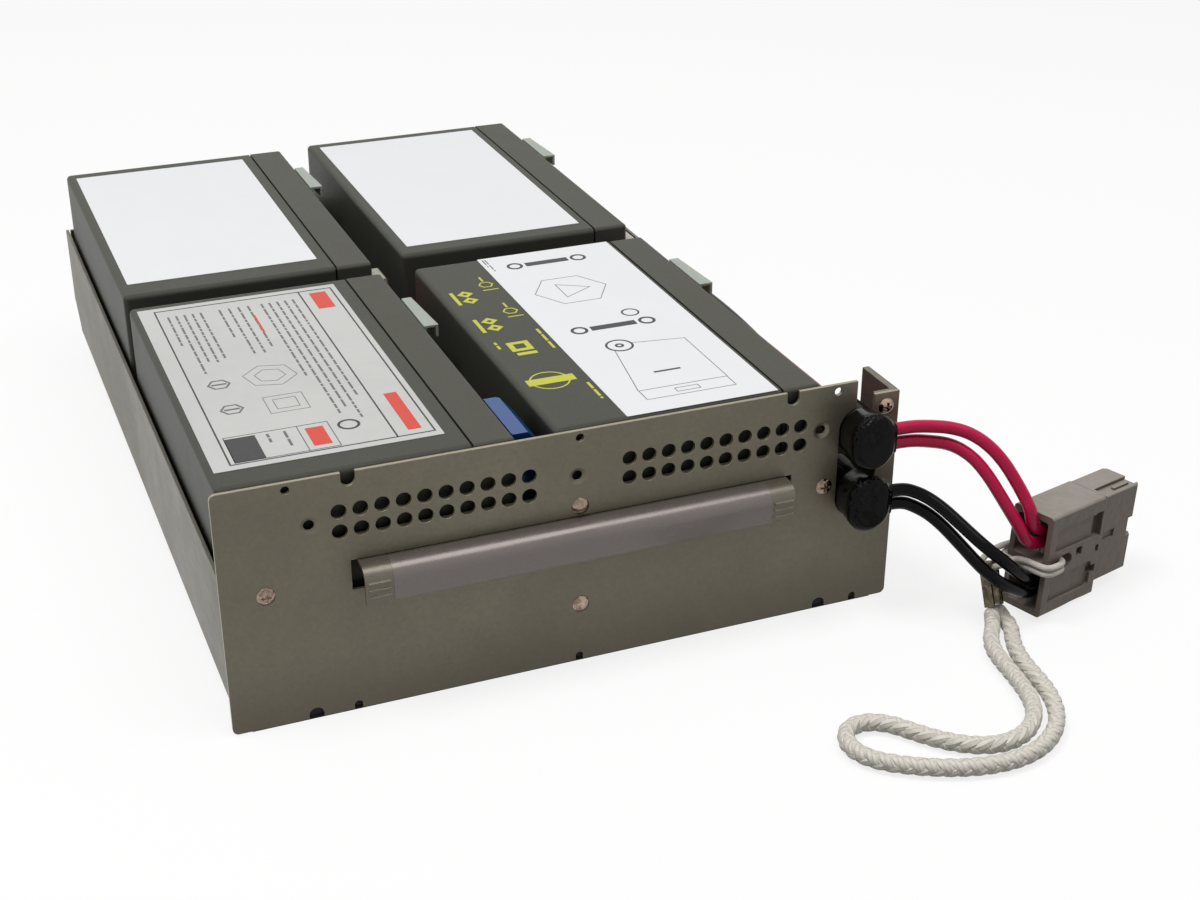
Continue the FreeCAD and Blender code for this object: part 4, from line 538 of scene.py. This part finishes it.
def finish(name):
    """A finish by its name; all are made at the first call."""
    if not FINISHES:
        c = bpy.context.scene.cartridge.colours
        case = {"edge": 0.0005, "gloss": 0.15, "recess": 0.014}
        FINISHES.update({
            "tray steel": sheet_steel("tray_steel", chart(116, 112, 100), brushing=(14.0, 1.0, 14.0)),
            "panel steel": sheet_steel("panel_steel", c.sheet, edge_gain=1.9, cut_highlight=True, foot_shade=0.55),
            "handle steel": sheet_steel("handle_steel", c.handle, brushing=(1.0, 20.0, 20.0), roughness=0.24,
                                        edge_gain=1.5, metallic=0.5),
            "handle foil": foil("handle_foil", c.foil, metallic=0.5, roughness=0.22),
            "label foil": foil("label_foil", chart(194, 195, 192), metallic=0.2, roughness=0.34, wrinkle=0.00002),
            "case": moulded("battery_case_plastic", c.battery, roughness=0.46, **case),
            "lid": moulded("battery_lid_plastic", c.lid, roughness=0.48, **case),
            "valve cover": moulded("valve_cover_plastic", tint(c.lid, 0.85)),
            "paper": printed_film("label_paper", c.paper),
            "guide": moulded("guide_plastic", c.guide, roughness=0.38, grain=600.0, Subsurface_Weight=0.08),
            "cover": moulded("terminal_cover_plastic", c.cover, roughness=0.24, grain=500.0, recess=0.014,
                             Coat_Weight=0.15),
            "sleeve": moulded("sleeve_plastic", chart(176, 171, 155), roughness=0.3, recess=0.03,
                              Subsurface_Weight=0.1),
            "boot": vinyl("boot_vinyl", c.boot),
            "red": insulation("red_insulation", c.red),
            "black": insulation("black_insulation", c.black, roughness=0.2, gloss=0.07),
            "sleeved red": insulation("sleeved_red_insulation", c.red, sleeve=SLEEVE_ENDS),
            "connector": moulded("connector_plastic", c.connector, roughness=0.46, grain=320.0, depth=0.00016,
                                 edge=0.0005, dirt_and_side_shade=chart(124, 108, 92)),
            "contact": bright_metal("contact_silver", chart(214, 212, 205), roughness=0.22),
            "terminal": bright_metal("terminal_tin", chart(196, 186, 158), roughness=0.3),
            "screw": bright_metal("screw_plating", c.screw, roughness=0.14, wear=0.9),
            "clip": bright_metal("clip_plating", chart(104, 97, 80), roughness=0.16, wear=0.9),
            "rope": cord_fibre("rope_yarn", c.rope),
            "tie": cord_fibre("tie_yarn", tint(c.rope, 1.02), yarns=9.0, depth=0.0001),
            "foam": foam_finish("foam_grey", chart(62, 62, 62)),
            "dark ink": ink("dark_ink", chart(38, 38, 40)),
            "grey ink": ink("grey_ink", chart(96, 96, 98)),
            "red ink": ink("red_ink", chart(205, 62, 44)),
            "yellow ink": ink("yellow_ink", chart(188, 190, 52)),
        })
    return FINISHES[name]


def dress(node, finish_name):
    """Gives a CAD node its finish."""
    mesh = NODES[node].data
    if not mesh.materials:
        mesh.materials.append(None)
    for place in NODES[node].material_slots:
        place.material = finish(finish_name)


def new_object(name, data):
    """A new object in the scene."""
    thing = bpy.data.objects.new(name, data)
    bpy.context.scene.collection.objects.link(thing)
    return thing


def add_piece(name, data, finish_names, replaced=()):
    """A new piece that rides on the cartridge."""
    piece = new_object(name, data)
    for finish_name in finish_names:
        data.materials.append(finish(finish_name))
    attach(piece, "root")
    if replaced:
        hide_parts(*replaced)
    return piece


def mesh_from(name, build, smooth=True):
    """A mesh made by a function that fills a bmesh."""
    bm = bmesh.new()
    build(bm)
    mesh = bpy.data.meshes.new(name)
    bm.to_mesh(mesh)
    bm.free()
    if smooth:
        mesh.shade_smooth()
    return mesh


# ---- cords ----
def route_curve(name, points, diameter):
    """A smooth curve whose control points are the route's own."""
    curve = bpy.data.curves.new(name, "CURVE")
    curve.dimensions = "3D"
    spline = curve.splines.new("NURBS")
    spline.points.add(len(points) - 1)
    for control, place in zip(spline.points, points):
        control.co = (*place, 1.0)
    spline.order_u = 3
    spline.use_endpoint_u = True
    spline.resolution_u = 12
    curve.bevel_depth = diameter / 2
    curve.bevel_resolution = 6
    curve.use_fill_caps = True
    return curve


def route_line(name, points):
    """Points along the route's own smooth curve."""
    curve = route_curve(name + "_line", points, 0.0)
    carrier = bpy.data.objects.new(name + "_line", curve)
    mesh = bpy.data.meshes.new_from_object(carrier)
    line = [v.co.copy() for v in mesh.vertices]
    bpy.data.objects.remove(carrier)
    bpy.data.curves.remove(curve)
    bpy.data.meshes.remove(mesh)
    return line


def even_line(line, step):
    """The same line with points a given step apart."""
    lengths = [0.0]
    for a, b in zip(line, line[1:]):
        lengths.append(lengths[-1] + (b - a).length)
    count = round(lengths[-1] / step)
    out, i = [], 0
    for k in range(count + 1):
        target = lengths[-1] * k / count
        while i < len(line) - 2 and lengths[i + 1] < target:
            i += 1
        span = max(lengths[i + 1] - lengths[i], 1e-9)
        out.append(line[i].lerp(line[i + 1], (target - lengths[i]) / span))
    return out


def carried_frames(line):
    """At each point of a line its position and two directions across it that turn as little as they can."""
    frames = []
    tangent = (line[1] - line[0]).normalized()
    across = tangent.orthogonal().normalized()
    for i, place in enumerate(line):
        ahead = (line[min(i + 1, len(line) - 1)] - line[max(i - 1, 0)]).normalized()
        across = (tangent.rotation_difference(ahead) @ across).normalized()
        tangent = ahead
        frames.append((place, across, tangent.cross(across)))
    return frames


def strand_height(crossings):
    """Between -1 and 1: over two crossings, then under two."""
    return math.sin(math.pi / 2 * (crossings + 0.5))


def braid(bm, line, diameter, lead):
    """Eight flattened strands, four each way, each over two and under two, round a soft core."""
    each_way, sides = 4, 10
    half_thick, half_wide, lift = diameter * 0.15, diameter * 0.265, diameter * 0.055
    mean = diameter / 2 - half_thick - lift
    frames = carried_frames(line)
    total = sum((b - a).length for a, b in zip(line, line[1:]))
    step = total / (len(line) - 1)
    uv_layer = bm.loops.layers.uv.new("UVMap")
    turn = [(math.cos(math.tau * k / sides), math.sin(math.tau * k / sides)) for k in range(sides)]

    def close_in(distance_along):
        """Narrows the rope to a rounded end."""
        edge = min(distance_along, total - distance_along) / (diameter * 0.45)
        return math.sqrt(max(0.0, 1 - (1 - min(1.0, edge)) ** 2)) * 0.75 + 0.25

    def strand_section(way, strand, i):
        """The outline of one strand at a point of the line."""
        centre, across, up = frames[i]
        distance_along = i * step
        shrink = close_in(distance_along)
        angle = way * math.tau * distance_along / lead + math.tau * strand / each_way
        crossings = 2 * each_way * distance_along / lead
        state = strand_height(crossings + 2 * strand) if way > 0 else -strand_height(2 * strand - crossings)
        reach = (mean + lift * state) * shrink
        out = across * math.cos(angle) + up * math.sin(angle)
        tangent = across.cross(up)
        run = (tangent * lead + tangent.cross(out) * way * math.tau * reach).normalized()
        side = run.cross(out).normalized()
        return [centre + out * reach + side * half_wide * shrink * c + out * half_thick * s for c, s in turn]

    def core_section(i):
        centre, across, up = frames[i]
        reach = (mean - half_thick * 0.3) * close_in(i * step)
        return [centre + (across * c + up * s) * reach for c, s in turn]

    def tube_of(section):
        rings = [[bm.verts.new(place) for place in section(i)] for i in range(len(frames))]
        for i, (low, high) in enumerate(zip(rings, rings[1:])):
            for k in range(sides):
                after = (k + 1) % sides
                face = bm.faces.new((low[k], low[after], high[after], high[k]))
                corners = bar(k / sides, i * step, (k + 1) / sides, (i + 1) * step)
                for loop, corner in zip(face.loops, corners):
                    loop[uv_layer].uv = corner
        bm.faces.new(list(reversed(rings[0])))
        bm.faces.new(rings[-1])

    for way in (1, -1):
        for strand in range(each_way):
            tube_of(lambda i: strand_section(way, strand, i))
    tube_of(core_section)


# ---- label print ----
def bar(x0, y0, x1, y1):
    """Outline of a filled rectangle."""
    return [(x0, y0), (x1, y0), (x1, y1), (x0, y1)]


def border(x0, y0, x1, y1, line):
    """Four bars that frame a rectangle."""
    return [bar(x0, y0, x1, y0 + line), bar(x0, y1 - line, x1, y1),
            bar(x0, y0 + line, x0 + line, y1 - line), bar(x1 - line, y0 + line, x1, y1 - line)]


def stroke(points, line):
    """Bars along a chain of points."""
    shapes = []
    for (ax, ay), (bx, by) in zip(points, points[1:]):
        along = Vector((bx - ax, by - ay)).normalized() * line / 2
        ends = ((ax, ay, -1, -1), (bx, by, 1, -1), (bx, by, 1, 1), (ax, ay, -1, 1))
        shapes.append([(x + s * along.x - t * along.y, y + s * along.y + t * along.x) for x, y, s, t in ends])
    return shapes


def ring(x, y, radius, line, corners=32, turn=0.0):
    """A round or many-sided ring, in pieces that meet along its corners; radius and line are in millimetres."""
    half = line * MM / 2 / math.cos(math.pi / corners)
    angles = [turn + math.tau * k / corners for k in range(corners)]
    inner, outer = ([(x + reach * math.cos(angle), y + reach * math.sin(angle)) for angle in angles]
                    for reach in (radius * MM - half, radius * MM + half))
    return [[inner[k - 1], outer[k - 1], outer[k], inner[k]] for k in range(corners)]


def word_rows(x0, x1, y0, y1, rows, line, seed):
    """Rows of short dashes of uneven length that run along Y; the last row is the shortest."""
    chance = random.Random(seed)
    shapes = []
    for row in range(rows):
        x = x1 - (x1 - x0) * (row + 0.5) / rows
        place = y1
        end = y1 - (y1 - y0) * (0.9 if row < rows - 1 else 0.9 * 0.6) * chance.uniform(0.8, 1.1)
        while place - MM > max(end, y0):
            stop = max(place - chance.uniform(1.6, 6.4) * MM, end, y0)
            shapes.append(bar(x - line * MM / 2, stop, x + line * MM / 2, place))
            place = stop - WORD_GAP
    return shapes


def print_mesh(name, layers, base, thickness):
    """Flat print in several inks; each later layer stands a little higher, so that no two lie level."""
    def build(bm):
        for index, shapes in enumerate(layers):
            top = base + thickness * (1 + index / len(layers))
            for outline in shapes:
                area = sum(a[0] * b[1] - b[0] * a[1] for a, b in zip(outline, outline[1:] + outline[:1]))
                outline = outline if area > 0 else outline[::-1]
                upper, lower = ([bm.verts.new((x, y, z)) for x, y in outline] for z in (top, base))
                sides = [(lower[k], lower[k + 1], upper[k + 1], upper[k]) for k in range(-len(outline), 0)]
                for corners in [upper, *sides]:
                    bm.faces.new(corners).material_index = index
    return mesh_from(name, build, smooth=False)


class Sheet:
    """Draws on a label or lid.

    Places are shares of its width, from left to right, and of its length, from front to back, and sizes are in
    millimetres.
    """

    def __init__(self, node):
        self.low, self.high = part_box(node)

    def x(self, share):
        return self.low.x + (self.high.x - self.low.x) * share

    def y(self, share):
        return self.low.y + (self.high.y - self.low.y) * share

    def box(self, x0, y0, x1, y1):
        return self.x(x0), self.y(y0), self.x(x1), self.y(y1)

    def bar(self, *places):
        return [bar(*self.box(*places))]

    def upright(self, x, y0, y1, line):
        """A thin bar along Y, with its left side at x."""
        return [bar(self.x(x), self.y(y0), self.x(x) + line * MM, self.y(y1))]

    def border(self, *places, line):
        return border(*self.box(*places), line * MM)

    def ring(self, x, y, radius, line, **form):
        return ring(self.x(x), self.y(y), radius, line, **form)

    def stroke(self, *places, line):
        return stroke([(self.x(x), self.y(y)) for x, y in places], line * MM)

    def words(self, x0, x1, y0, y1, rows, line, seed):
        return word_rows(self.x(x0), self.x(x1), self.y(y0), self.y(y1), rows, line, seed)


def silver_label_layers(sheet):
    """Border, divider, rows of dashes, plain blocks and simple outlines for the front left battery."""
    thin, medium = 0.25, 0.55
    dark = sheet.border(0.075, 0.022, 0.975, 0.978, line=medium) + sheet.upright(0.80, 0.022, 0.978, medium)
    dark += sheet.bar(0.10, 0.03, 0.235, 0.155) + sheet.border(0.10, 0.03, 0.56, 0.165, line=thin)
    dark += sheet.upright(0.42, 0.03, 0.165, thin) + sheet.ring(0.64, 0.13, 3.2, 0.9)
    grey = sheet.words(0.575, 0.775, 0.09, 0.93, 5, 0.75, 3) + sheet.words(0.36, 0.55, 0.60, 0.93, 4, 0.75, 5)
    grey += sheet.words(0.11, 0.31, 0.52, 0.93, 5, 0.75, 8) + sheet.words(0.25, 0.40, 0.05, 0.15, 2, 0.9, 13)
    for y in (0.46, 0.31):
        grey += sheet.ring(0.20, y, 3.6, 0.7, corners=6) + sheet.bar(0.165, y - 0.004, 0.235, y + 0.004)
    for y, corners in ((0.47, 6), (0.30, 4)):
        for radius in (9.0, 5.2):
            grey += sheet.ring(0.44, y, radius, thin, corners=corners, turn=math.pi / 4)
    red = sheet.bar(0.85, 0.84, 0.935, 0.955) + sheet.bar(0.865, 0.05, 0.925, 0.26)
    red += sheet.bar(0.45, 0.05, 0.53, 0.145) + sheet.bar(0.525, 0.74, 0.535, 0.86)
    return [grey, dark, red]


def white_label_layers(sheet):
    """Large thin outlines and plain bars for the front right battery."""
    thin = 0.3
    dark = sheet.ring(0.64, 0.53, 3.0, 0.7) + sheet.ring(0.36, 0.355, 4.6, 0.8)
    dark += sheet.ring(0.36, 0.355, 1.2, 0.9, corners=12)
    for x, y in ((0.45, 0.92), (0.45, 0.47)):
        dark += sheet.bar(x - 0.16, y - 0.012, x + 0.16, y + 0.012)
        dark += sheet.ring(x + 0.24, y, 2.6, 1.1) + sheet.ring(x - 0.24, y, 2.6, 1.1)
    dark += sheet.bar(0.40, 0.185, 0.58, 0.192)
    fine = sheet.ring(0.42, 0.72, 14.0, thin, corners=6) + sheet.ring(0.42, 0.72, 7.5, thin, corners=3)
    fine += sheet.border(0.20, 0.06, 0.80, 0.11, line=thin) + sheet.border(0.42, 0.075, 0.58, 0.095, line=thin)
    fine += sheet.stroke((0.30, 0.33), (0.20, 0.11), line=thin)
    fine += sheet.stroke((0.44, 0.36), (0.80, 0.34), (0.80, 0.11), line=thin)
    fine += sheet.words(0.02, 0.06, 0.88, 0.99, 2, 0.5, 21)
    return [fine, dark]


def case_print_layers(sheet, right):
    """Yellow diamonds, blocks, rings and dashes straight on the case, left of the label that starts at right."""
    left, width = sheet.low.x + 4.0 * MM, right - sheet.low.x - 5.0 * MM

    def across(share):
        return left + width * share

    def block(x0, x1, y, low, high):
        """A bar between two shares across and two distances from y, in millimetres."""
        return [bar(across(x0), y + low * MM, across(x1), y + high * MM)]
    fine, bold = [], []
    for share in (0.80, 0.62):
        y = sheet.y(share)
        for step in (-2.4, -8.8):
            bold += ring(across(0.29), y + step * MM, 2.1, 1.4, corners=4)
        bold += block(0.02, 0.09, y, -11.8, 0.6)
        fine += ring(across(0.80), y + 4.0 * MM, 2.6, 0.6, corners=6)
        fine += block(0.78, 0.82, y, 7.4, 12.0) + block(0.66, 0.96, y, -1.6, -0.9)
    y = sheet.y(0.44)
    bold += ring(across(0.42), y, 4.2, 2.0, corners=4, turn=math.pi / 4) + block(0.26, 0.62, y, -7.6, -5.4)
    fine += word_rows(across(0.0), across(0.12), y - 8.0 * MM, y + 6.0 * MM, 1, 1.0, 31)
    y = sheet.y(0.24)
    fine += ring(across(0.40), y, 6.6, 0.6)
    bold += block(0.0, 0.84, y, -2.4, 2.4)
    for y0, y1, seed in ((0.28, 0.52, 34), (0.03, 0.20, 35)):
        fine += word_rows(across(0.90), across(1.0), sheet.y(y0), sheet.y(y1), 1, 1.0, seed)
    return [fine, bold]


# ---- operators ----
class Dressing:
    """What the operators share that only give finishes: which CAD nodes get which finish."""

    def execute(self, context):
        for finish_name, nodes in self.dressed.items():
            for node in nodes:
                dress(node, finish_name)
        return {"FINISHED"}


class MakeCords(bpy.types.Operator):
    """Makes the four outer wires, the rope loop and the tie as real cords"""
    bl_idname = "cartridge.cords"
    bl_label = "Wires, rope and tie"

    def execute(self, context):
        for name, (points, length, carried) in WIRES.items():
            finish_name = "red" if name.startswith("red") else "black"
            wire = add_piece(name + "_flex", route_curve(name, points, WIRE_DIAMETER), [finish_name],
                             [name])
        self.make_rope(context.scene.cartridge.sizes.braid_lead)
        self.make_tie()
        return {"FINISHED"}

    def make_rope(self, lead):
        line = route_line("pull_rope", PULL_ROPE)
        even = even_line(line, BRAID_STEP)
        mesh = mesh_from("rope_braid", lambda bm: braid(bm, even, ROPE_DIAMETER, lead))
        rope = add_piece("rope_braid", mesh, ["rope"], ["pull_rope"])

    def make_tie(self):
        for index, (turn, length) in enumerate(zip(TIE_TURNS, TIE_LENGTHS)):
            points = [PLUG @ Vector(mm(*p)) for p in turn]
            name = f"tie_turn_{index + 1}"
            strand = add_piece(name, route_curve(name, points, TIE_DIAMETER), ["tie"], ["tie_cord"])


class DressSheetMetal(Dressing, bpy.types.Operator):
    """Gives the tray, the front panel and the corner bracket their galvanised finish"""
    bl_idname = "cartridge.sheet_metal"
    bl_label = "Tray and panel"
    dressed = {"tray steel": ["tray", "corner_bracket"], "panel steel": ["front_panel"]}


class DressHandle(Dressing, bpy.types.Operator):
    """Gives the pull handle its brushed finish and its bare foil label"""
    bl_idname = "cartridge.handle"
    bl_label = "Pull handle"
    dressed = {"handle steel": ["pull_handle"], "handle foil": ["handle_label"]}


class DressFasteners(Dressing, bpy.types.Operator):
    """Gives the rivets and screws their plating"""
    bl_idname = "cartridge.fasteners"
    bl_label = "Fasteners"
    dressed = {"screw": ["panel_rivets", "panel_screws", "bracket_screw"]}


class DressBatteries(Dressing, bpy.types.Operator):
    """Gives the four batteries' plain parts, the blue terminal cover and the foam pads their finishes"""
    bl_idname = "cartridge.batteries"
    bl_label = "Batteries"
    dressed = {finish_name: [f"{part}_{key}" for key in BATTERIES] for finish_name, part in BATTERY_PARTS.items()}
    dressed |= {"cover": ["terminal_cover"], "foam": ["foam_pads"]}


class PrintLabels(bpy.types.Operator):
    """Gives the battery labels their film and plain, generic print"""
    bl_idname = "cartridge.labels"
    bl_label = "Battery labels"

    def execute(self, context):
        thickness = context.scene.cartridge.sizes.ink
        for key in BATTERIES:
            dress("battery_label_" + key, "label foil" if key == "front_left" else "paper")
        silver = Sheet("battery_label_front_left")
        white = Sheet("battery_label_front_right")
        case = Sheet("battery_case_front_right")
        prints = (
            ("silver_label_print", silver_label_layers(silver), silver.high.z, ["grey ink", "dark ink", "red ink"]),
            ("white_label_print", white_label_layers(white), white.high.z, ["grey ink", "dark ink"]),
            ("case_print", case_print_layers(case, white.low.x), case.high.z, ["yellow ink", "yellow ink"]))
        for name, layers, height, inks in prints:
            add_piece(name, print_mesh(name, layers, height, thickness), inks)
        return {"FINISHED"}


class MakeBoots(bpy.types.Operator):
    """Makes the two cable boots with dented, crumpled vinyl"""
    bl_idname = "cartridge.boots"
    bl_label = "Cable boots"

    def execute(self, context):
        depth = context.scene.cartridge.sizes.crumple
        for node in ("red_cable_boot", "black_cable_boot"):
            add_piece(node + "_vinyl", self.crumpled(node, depth), ["boot"], [node])
        return {"FINISHED"}

    def crumpled(self, node, depth):
        """The boot as an even skin, dented all over in front of the panel and folded at its upper left rim."""
        carrier = new_object(node + "_skin", NODES[node].data.copy())
        remesh = carrier.modifiers.new("skin", "REMESH")
        remesh.mode = "VOXEL"
        remesh.voxel_size = BOOT_VOXEL
        bpy.context.view_layer.update()
        skin = bpy.data.meshes.new_from_object(carrier.evaluated_get(bpy.context.evaluated_depsgraph_get()))
        skin.materials.clear()
        bpy.data.objects.remove(carrier)
        low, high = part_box(node)
        middle = Vector(((low.x + min(high.x, low.x + BOOT_WIDTH)) / 2, 0, (low.z + high.z) / 2))
        bm = bmesh.new()
        bm.from_mesh(skin)
        for _ in range(BOOT_SMOOTHING):
            bmesh.ops.smooth_vert(bm, verts=bm.verts, factor=0.5, use_axis_x=True, use_axis_y=True, use_axis_z=True)
        bm.normal_update()
        for vert in bm.verts:
            away = vert.co - middle
            angle = math.atan2(away.z, away.x)
            ahead = max(0.0, min(1.0, (DENTS_FROM - vert.co.y) / DENTS_FADE))
            upper_left = max(0.0, math.cos(angle - FOLD_TURN)) ** 1.5
            rim = math.exp(-((vert.co.y - low.y - RIM_SETBACK) / RIM_WIDTH) ** 2)
            folds = abs(noise.noise(vert.co * FOLD_SCALES[0])) + 0.5 * abs(noise.noise(vert.co * FOLD_SCALES[1]))
            dents = noise.noise(vert.co * DENT_SCALES[0]) * 0.5 + noise.noise(vert.co * DENT_SCALES[1]) * 0.25
            shift = (dents - 0.3) * DENT_DEPTH - rim * upper_left * folds * depth * 1.4
            vert.co += vert.normal * shift * ahead
        bm.to_mesh(skin)
        bm.free()
        skin.shade_smooth()
        return skin


class DressConnector(Dressing, bpy.types.Operator):
    """Gives the connector's housing, contacts and springs and the rope's clip their finishes"""
    bl_idname = "cartridge.connector"
    bl_label = "Power connector"
    dressed = {"connector": ["connector_housing"], "clip": ["rope_clip"],
               "contact": ["contact_red", "contact_spring_red", "contact_black", "contact_spring_black"]}


class DressLeads(Dressing, bpy.types.Operator):
    """Gives the jumpers and the inner leads their insulation, with black sleeving on the exposed right-hand run"""
    bl_idname = "cartridge.leads"
    bl_label = "Inner leads"
    dressed = {"black": ["jumper_left", "jumper_right", "lead_black_left", "lead_black_right"],
               "red": ["lead_red_left"], "sleeved red": ["lead_red_right"]}


class MakeStage(bpy.types.Operator):
    """Sets up the camera, the pale floor with its riser, the dark strips of painted shadow behind and under the
    panel, and the soft light
    """
    bl_idname = "cartridge.stage"
    bl_label = "Camera, floor and light"

    def execute(self, context):
        settings = context.scene.cartridge.stage
        self.make_camera(context)
        self.make_floor(settings)
        self.make_light(context, settings)
        context.scene.view_settings.view_transform = "Standard"
        return {"FINISHED"}

    def make_camera(self, context):
        data = bpy.data.cameras.new("camera")
        data.sensor_width = SENSOR_WIDTH
        data.lens = CAMERA_LENS
        data.clip_start = CLIP_START
        camera = new_object("camera", data)
        camera.location = CAMERA_PLACE
        camera.rotation_euler = [math.radians(angle) for angle in CAMERA_ANGLES]
        context.scene.camera = camera

    def make_floor(self, settings):
        """The floor, a riser hidden under the tray, and two dark strips of painted shadow behind the panel and
        under its notches.
        """
        floor = new_object("floor", mesh_from("floor", lambda bm: bmesh.ops.create_grid(
            bm, x_segments=2, y_segments=2, size=FLOOR_SIZE)))
        low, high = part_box("tray")
        near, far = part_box("front_panel")
        top = low.z - RISER_GAP
        riser = self.block("riser", (low.x + RISER_INSET, low.y + RISER_INSET, RISER_FOOT),
                           (high.x - RISER_INSET, high.y - RISER_INSET, top))
        x0, x1, back = near.x + STRIP_INSET, far.x - STRIP_INSET, far.y + STRIP_DEPTH
        # Painted shadow: dark strips behind the panel and under its notches, where the lit floor would show.
        shade = self.block("shade", (x0, far.y + STRIP_GAP, RISER_FOOT), (x1, back, top))
        sole = self.block("sole", (x0, near.y, NOTCH_SHADOW_HEIGHTS[0]), (x1, back, NOTCH_SHADOW_HEIGHTS[1]))
        black = Finish("shade_paint", (0.006, 0.006, 0.006))
        dark = black.done(black.blend(black.grain(400.0), 1.0, 2.0), 0.8)
        pale = self.floor_finish(settings)
        for thing, paint in ((floor, pale), (riser, pale), (shade, dark), (sole, dark)):
            thing.data.materials.append(paint)
        floor.location.z = FLOOR_HEIGHT

    def block(self, name, low, high):
        """A plain block between two corners."""
        low, high = Vector(low), Vector(high)

        def build(bm):
            bmesh.ops.create_cube(bm, size=1.0)
            bmesh.ops.scale(bm, vec=high - low, verts=bm.verts)
            bmesh.ops.translate(bm, vec=(low + high) / 2, verts=bm.verts)
        return new_object(name, mesh_from(name, build, smooth=False))

    def floor_finish(self, settings):
        """Matt pale floor that is white to the camera and in reflections, but for the object's shadow."""
        paint = Finish("floor_paint", settings.floor)
        seen = paint.seen()
        paint.done(paint.blend(seen, settings.bounce, 1.0), 0.9)
        glow = paint.add("Emission", {"Color": (1.0, 1.0, 1.0, 1.0), "Strength": 1.0})
        mixed = paint.add("MixShader", {0: paint.times(seen, settings.floor_white), 1: paint.shader.outputs[0],
                                        2: glow})
        paint.plug(mixed, paint.tree.nodes["Material Output"].inputs["Surface"])
        return paint.material

    def make_light(self, context, settings):
        """Even light from the room, brighter from above, and two large lamps."""
        world = bpy.data.worlds.new("studio")
        world.use_nodes = True
        bench = Bench(world.node_tree)
        background = world.node_tree.nodes["Background"].inputs
        upward = bench.axis(bench.add("TexCoord", outlet="Generated"), 2)
        room = bench.times(bench.spread(upward, 0.0, 1.0, 0.1, 1.6), settings.world)
        background["Color"].default_value = ROOM_COLOUR
        bench.plug(bench.add("Mix", {0: bench.seen(), 2: room, 3: 1.0}), background["Strength"])
        context.scene.world = world
        for name, place, size in LAMPS:
            data = bpy.data.lights.new(name, "AREA")
            data.size = size
            data.energy = getattr(settings, name)
            lamp = new_object(name, data)
            lamp.location = place
            lamp.rotation_euler = (LAMPS_AIM - Vector(place)).to_track_quat("-Z", "Y").to_euler()


class CartridgePanel(bpy.types.Panel):
    """Lists the steps in the sidebar"""
    bl_idname = "VIEW3D_PT_cartridge"
    bl_label = "Battery cartridge"
    bl_space_type = "VIEW_3D"
    bl_region_type = "UI"
    bl_category = "Cartridge"

    def draw(self, context):
        settings = context.scene.cartridge
        for operator in STEPS:
            self.layout.operator(operator.bl_idname)
        for group in (settings.colours, settings.sizes, settings.stage):
            box = self.layout.box()
            for name in group.bl_rna.properties.keys():
                if name not in {"rna_type", "name"}:
                    box.prop(group, name)


STEPS = (MakeStage, MakeCords, DressSheetMetal, DressHandle, DressFasteners, DressBatteries, PrintLabels, MakeBoots,
         DressConnector, DressLeads)
CLASSES = (CartridgeColours, CartridgeSizes, CartridgeStage, Cartridge, *STEPS, CartridgePanel)


def register():
    for cls in CLASSES:
        bpy.utils.register_class(cls)
    bpy.types.Scene.cartridge = bpy.props.PointerProperty(type=Cartridge)


def unregister():
    del bpy.types.Scene.cartridge
    for cls in reversed(CLASSES):
        bpy.utils.unregister_class(cls)


def main():
    register()
    for operator in STEPS:
        module, step = operator.bl_idname.split(".")
        getattr(getattr(bpy.ops, module), step)()


if __name__ == "__main__":
    main()
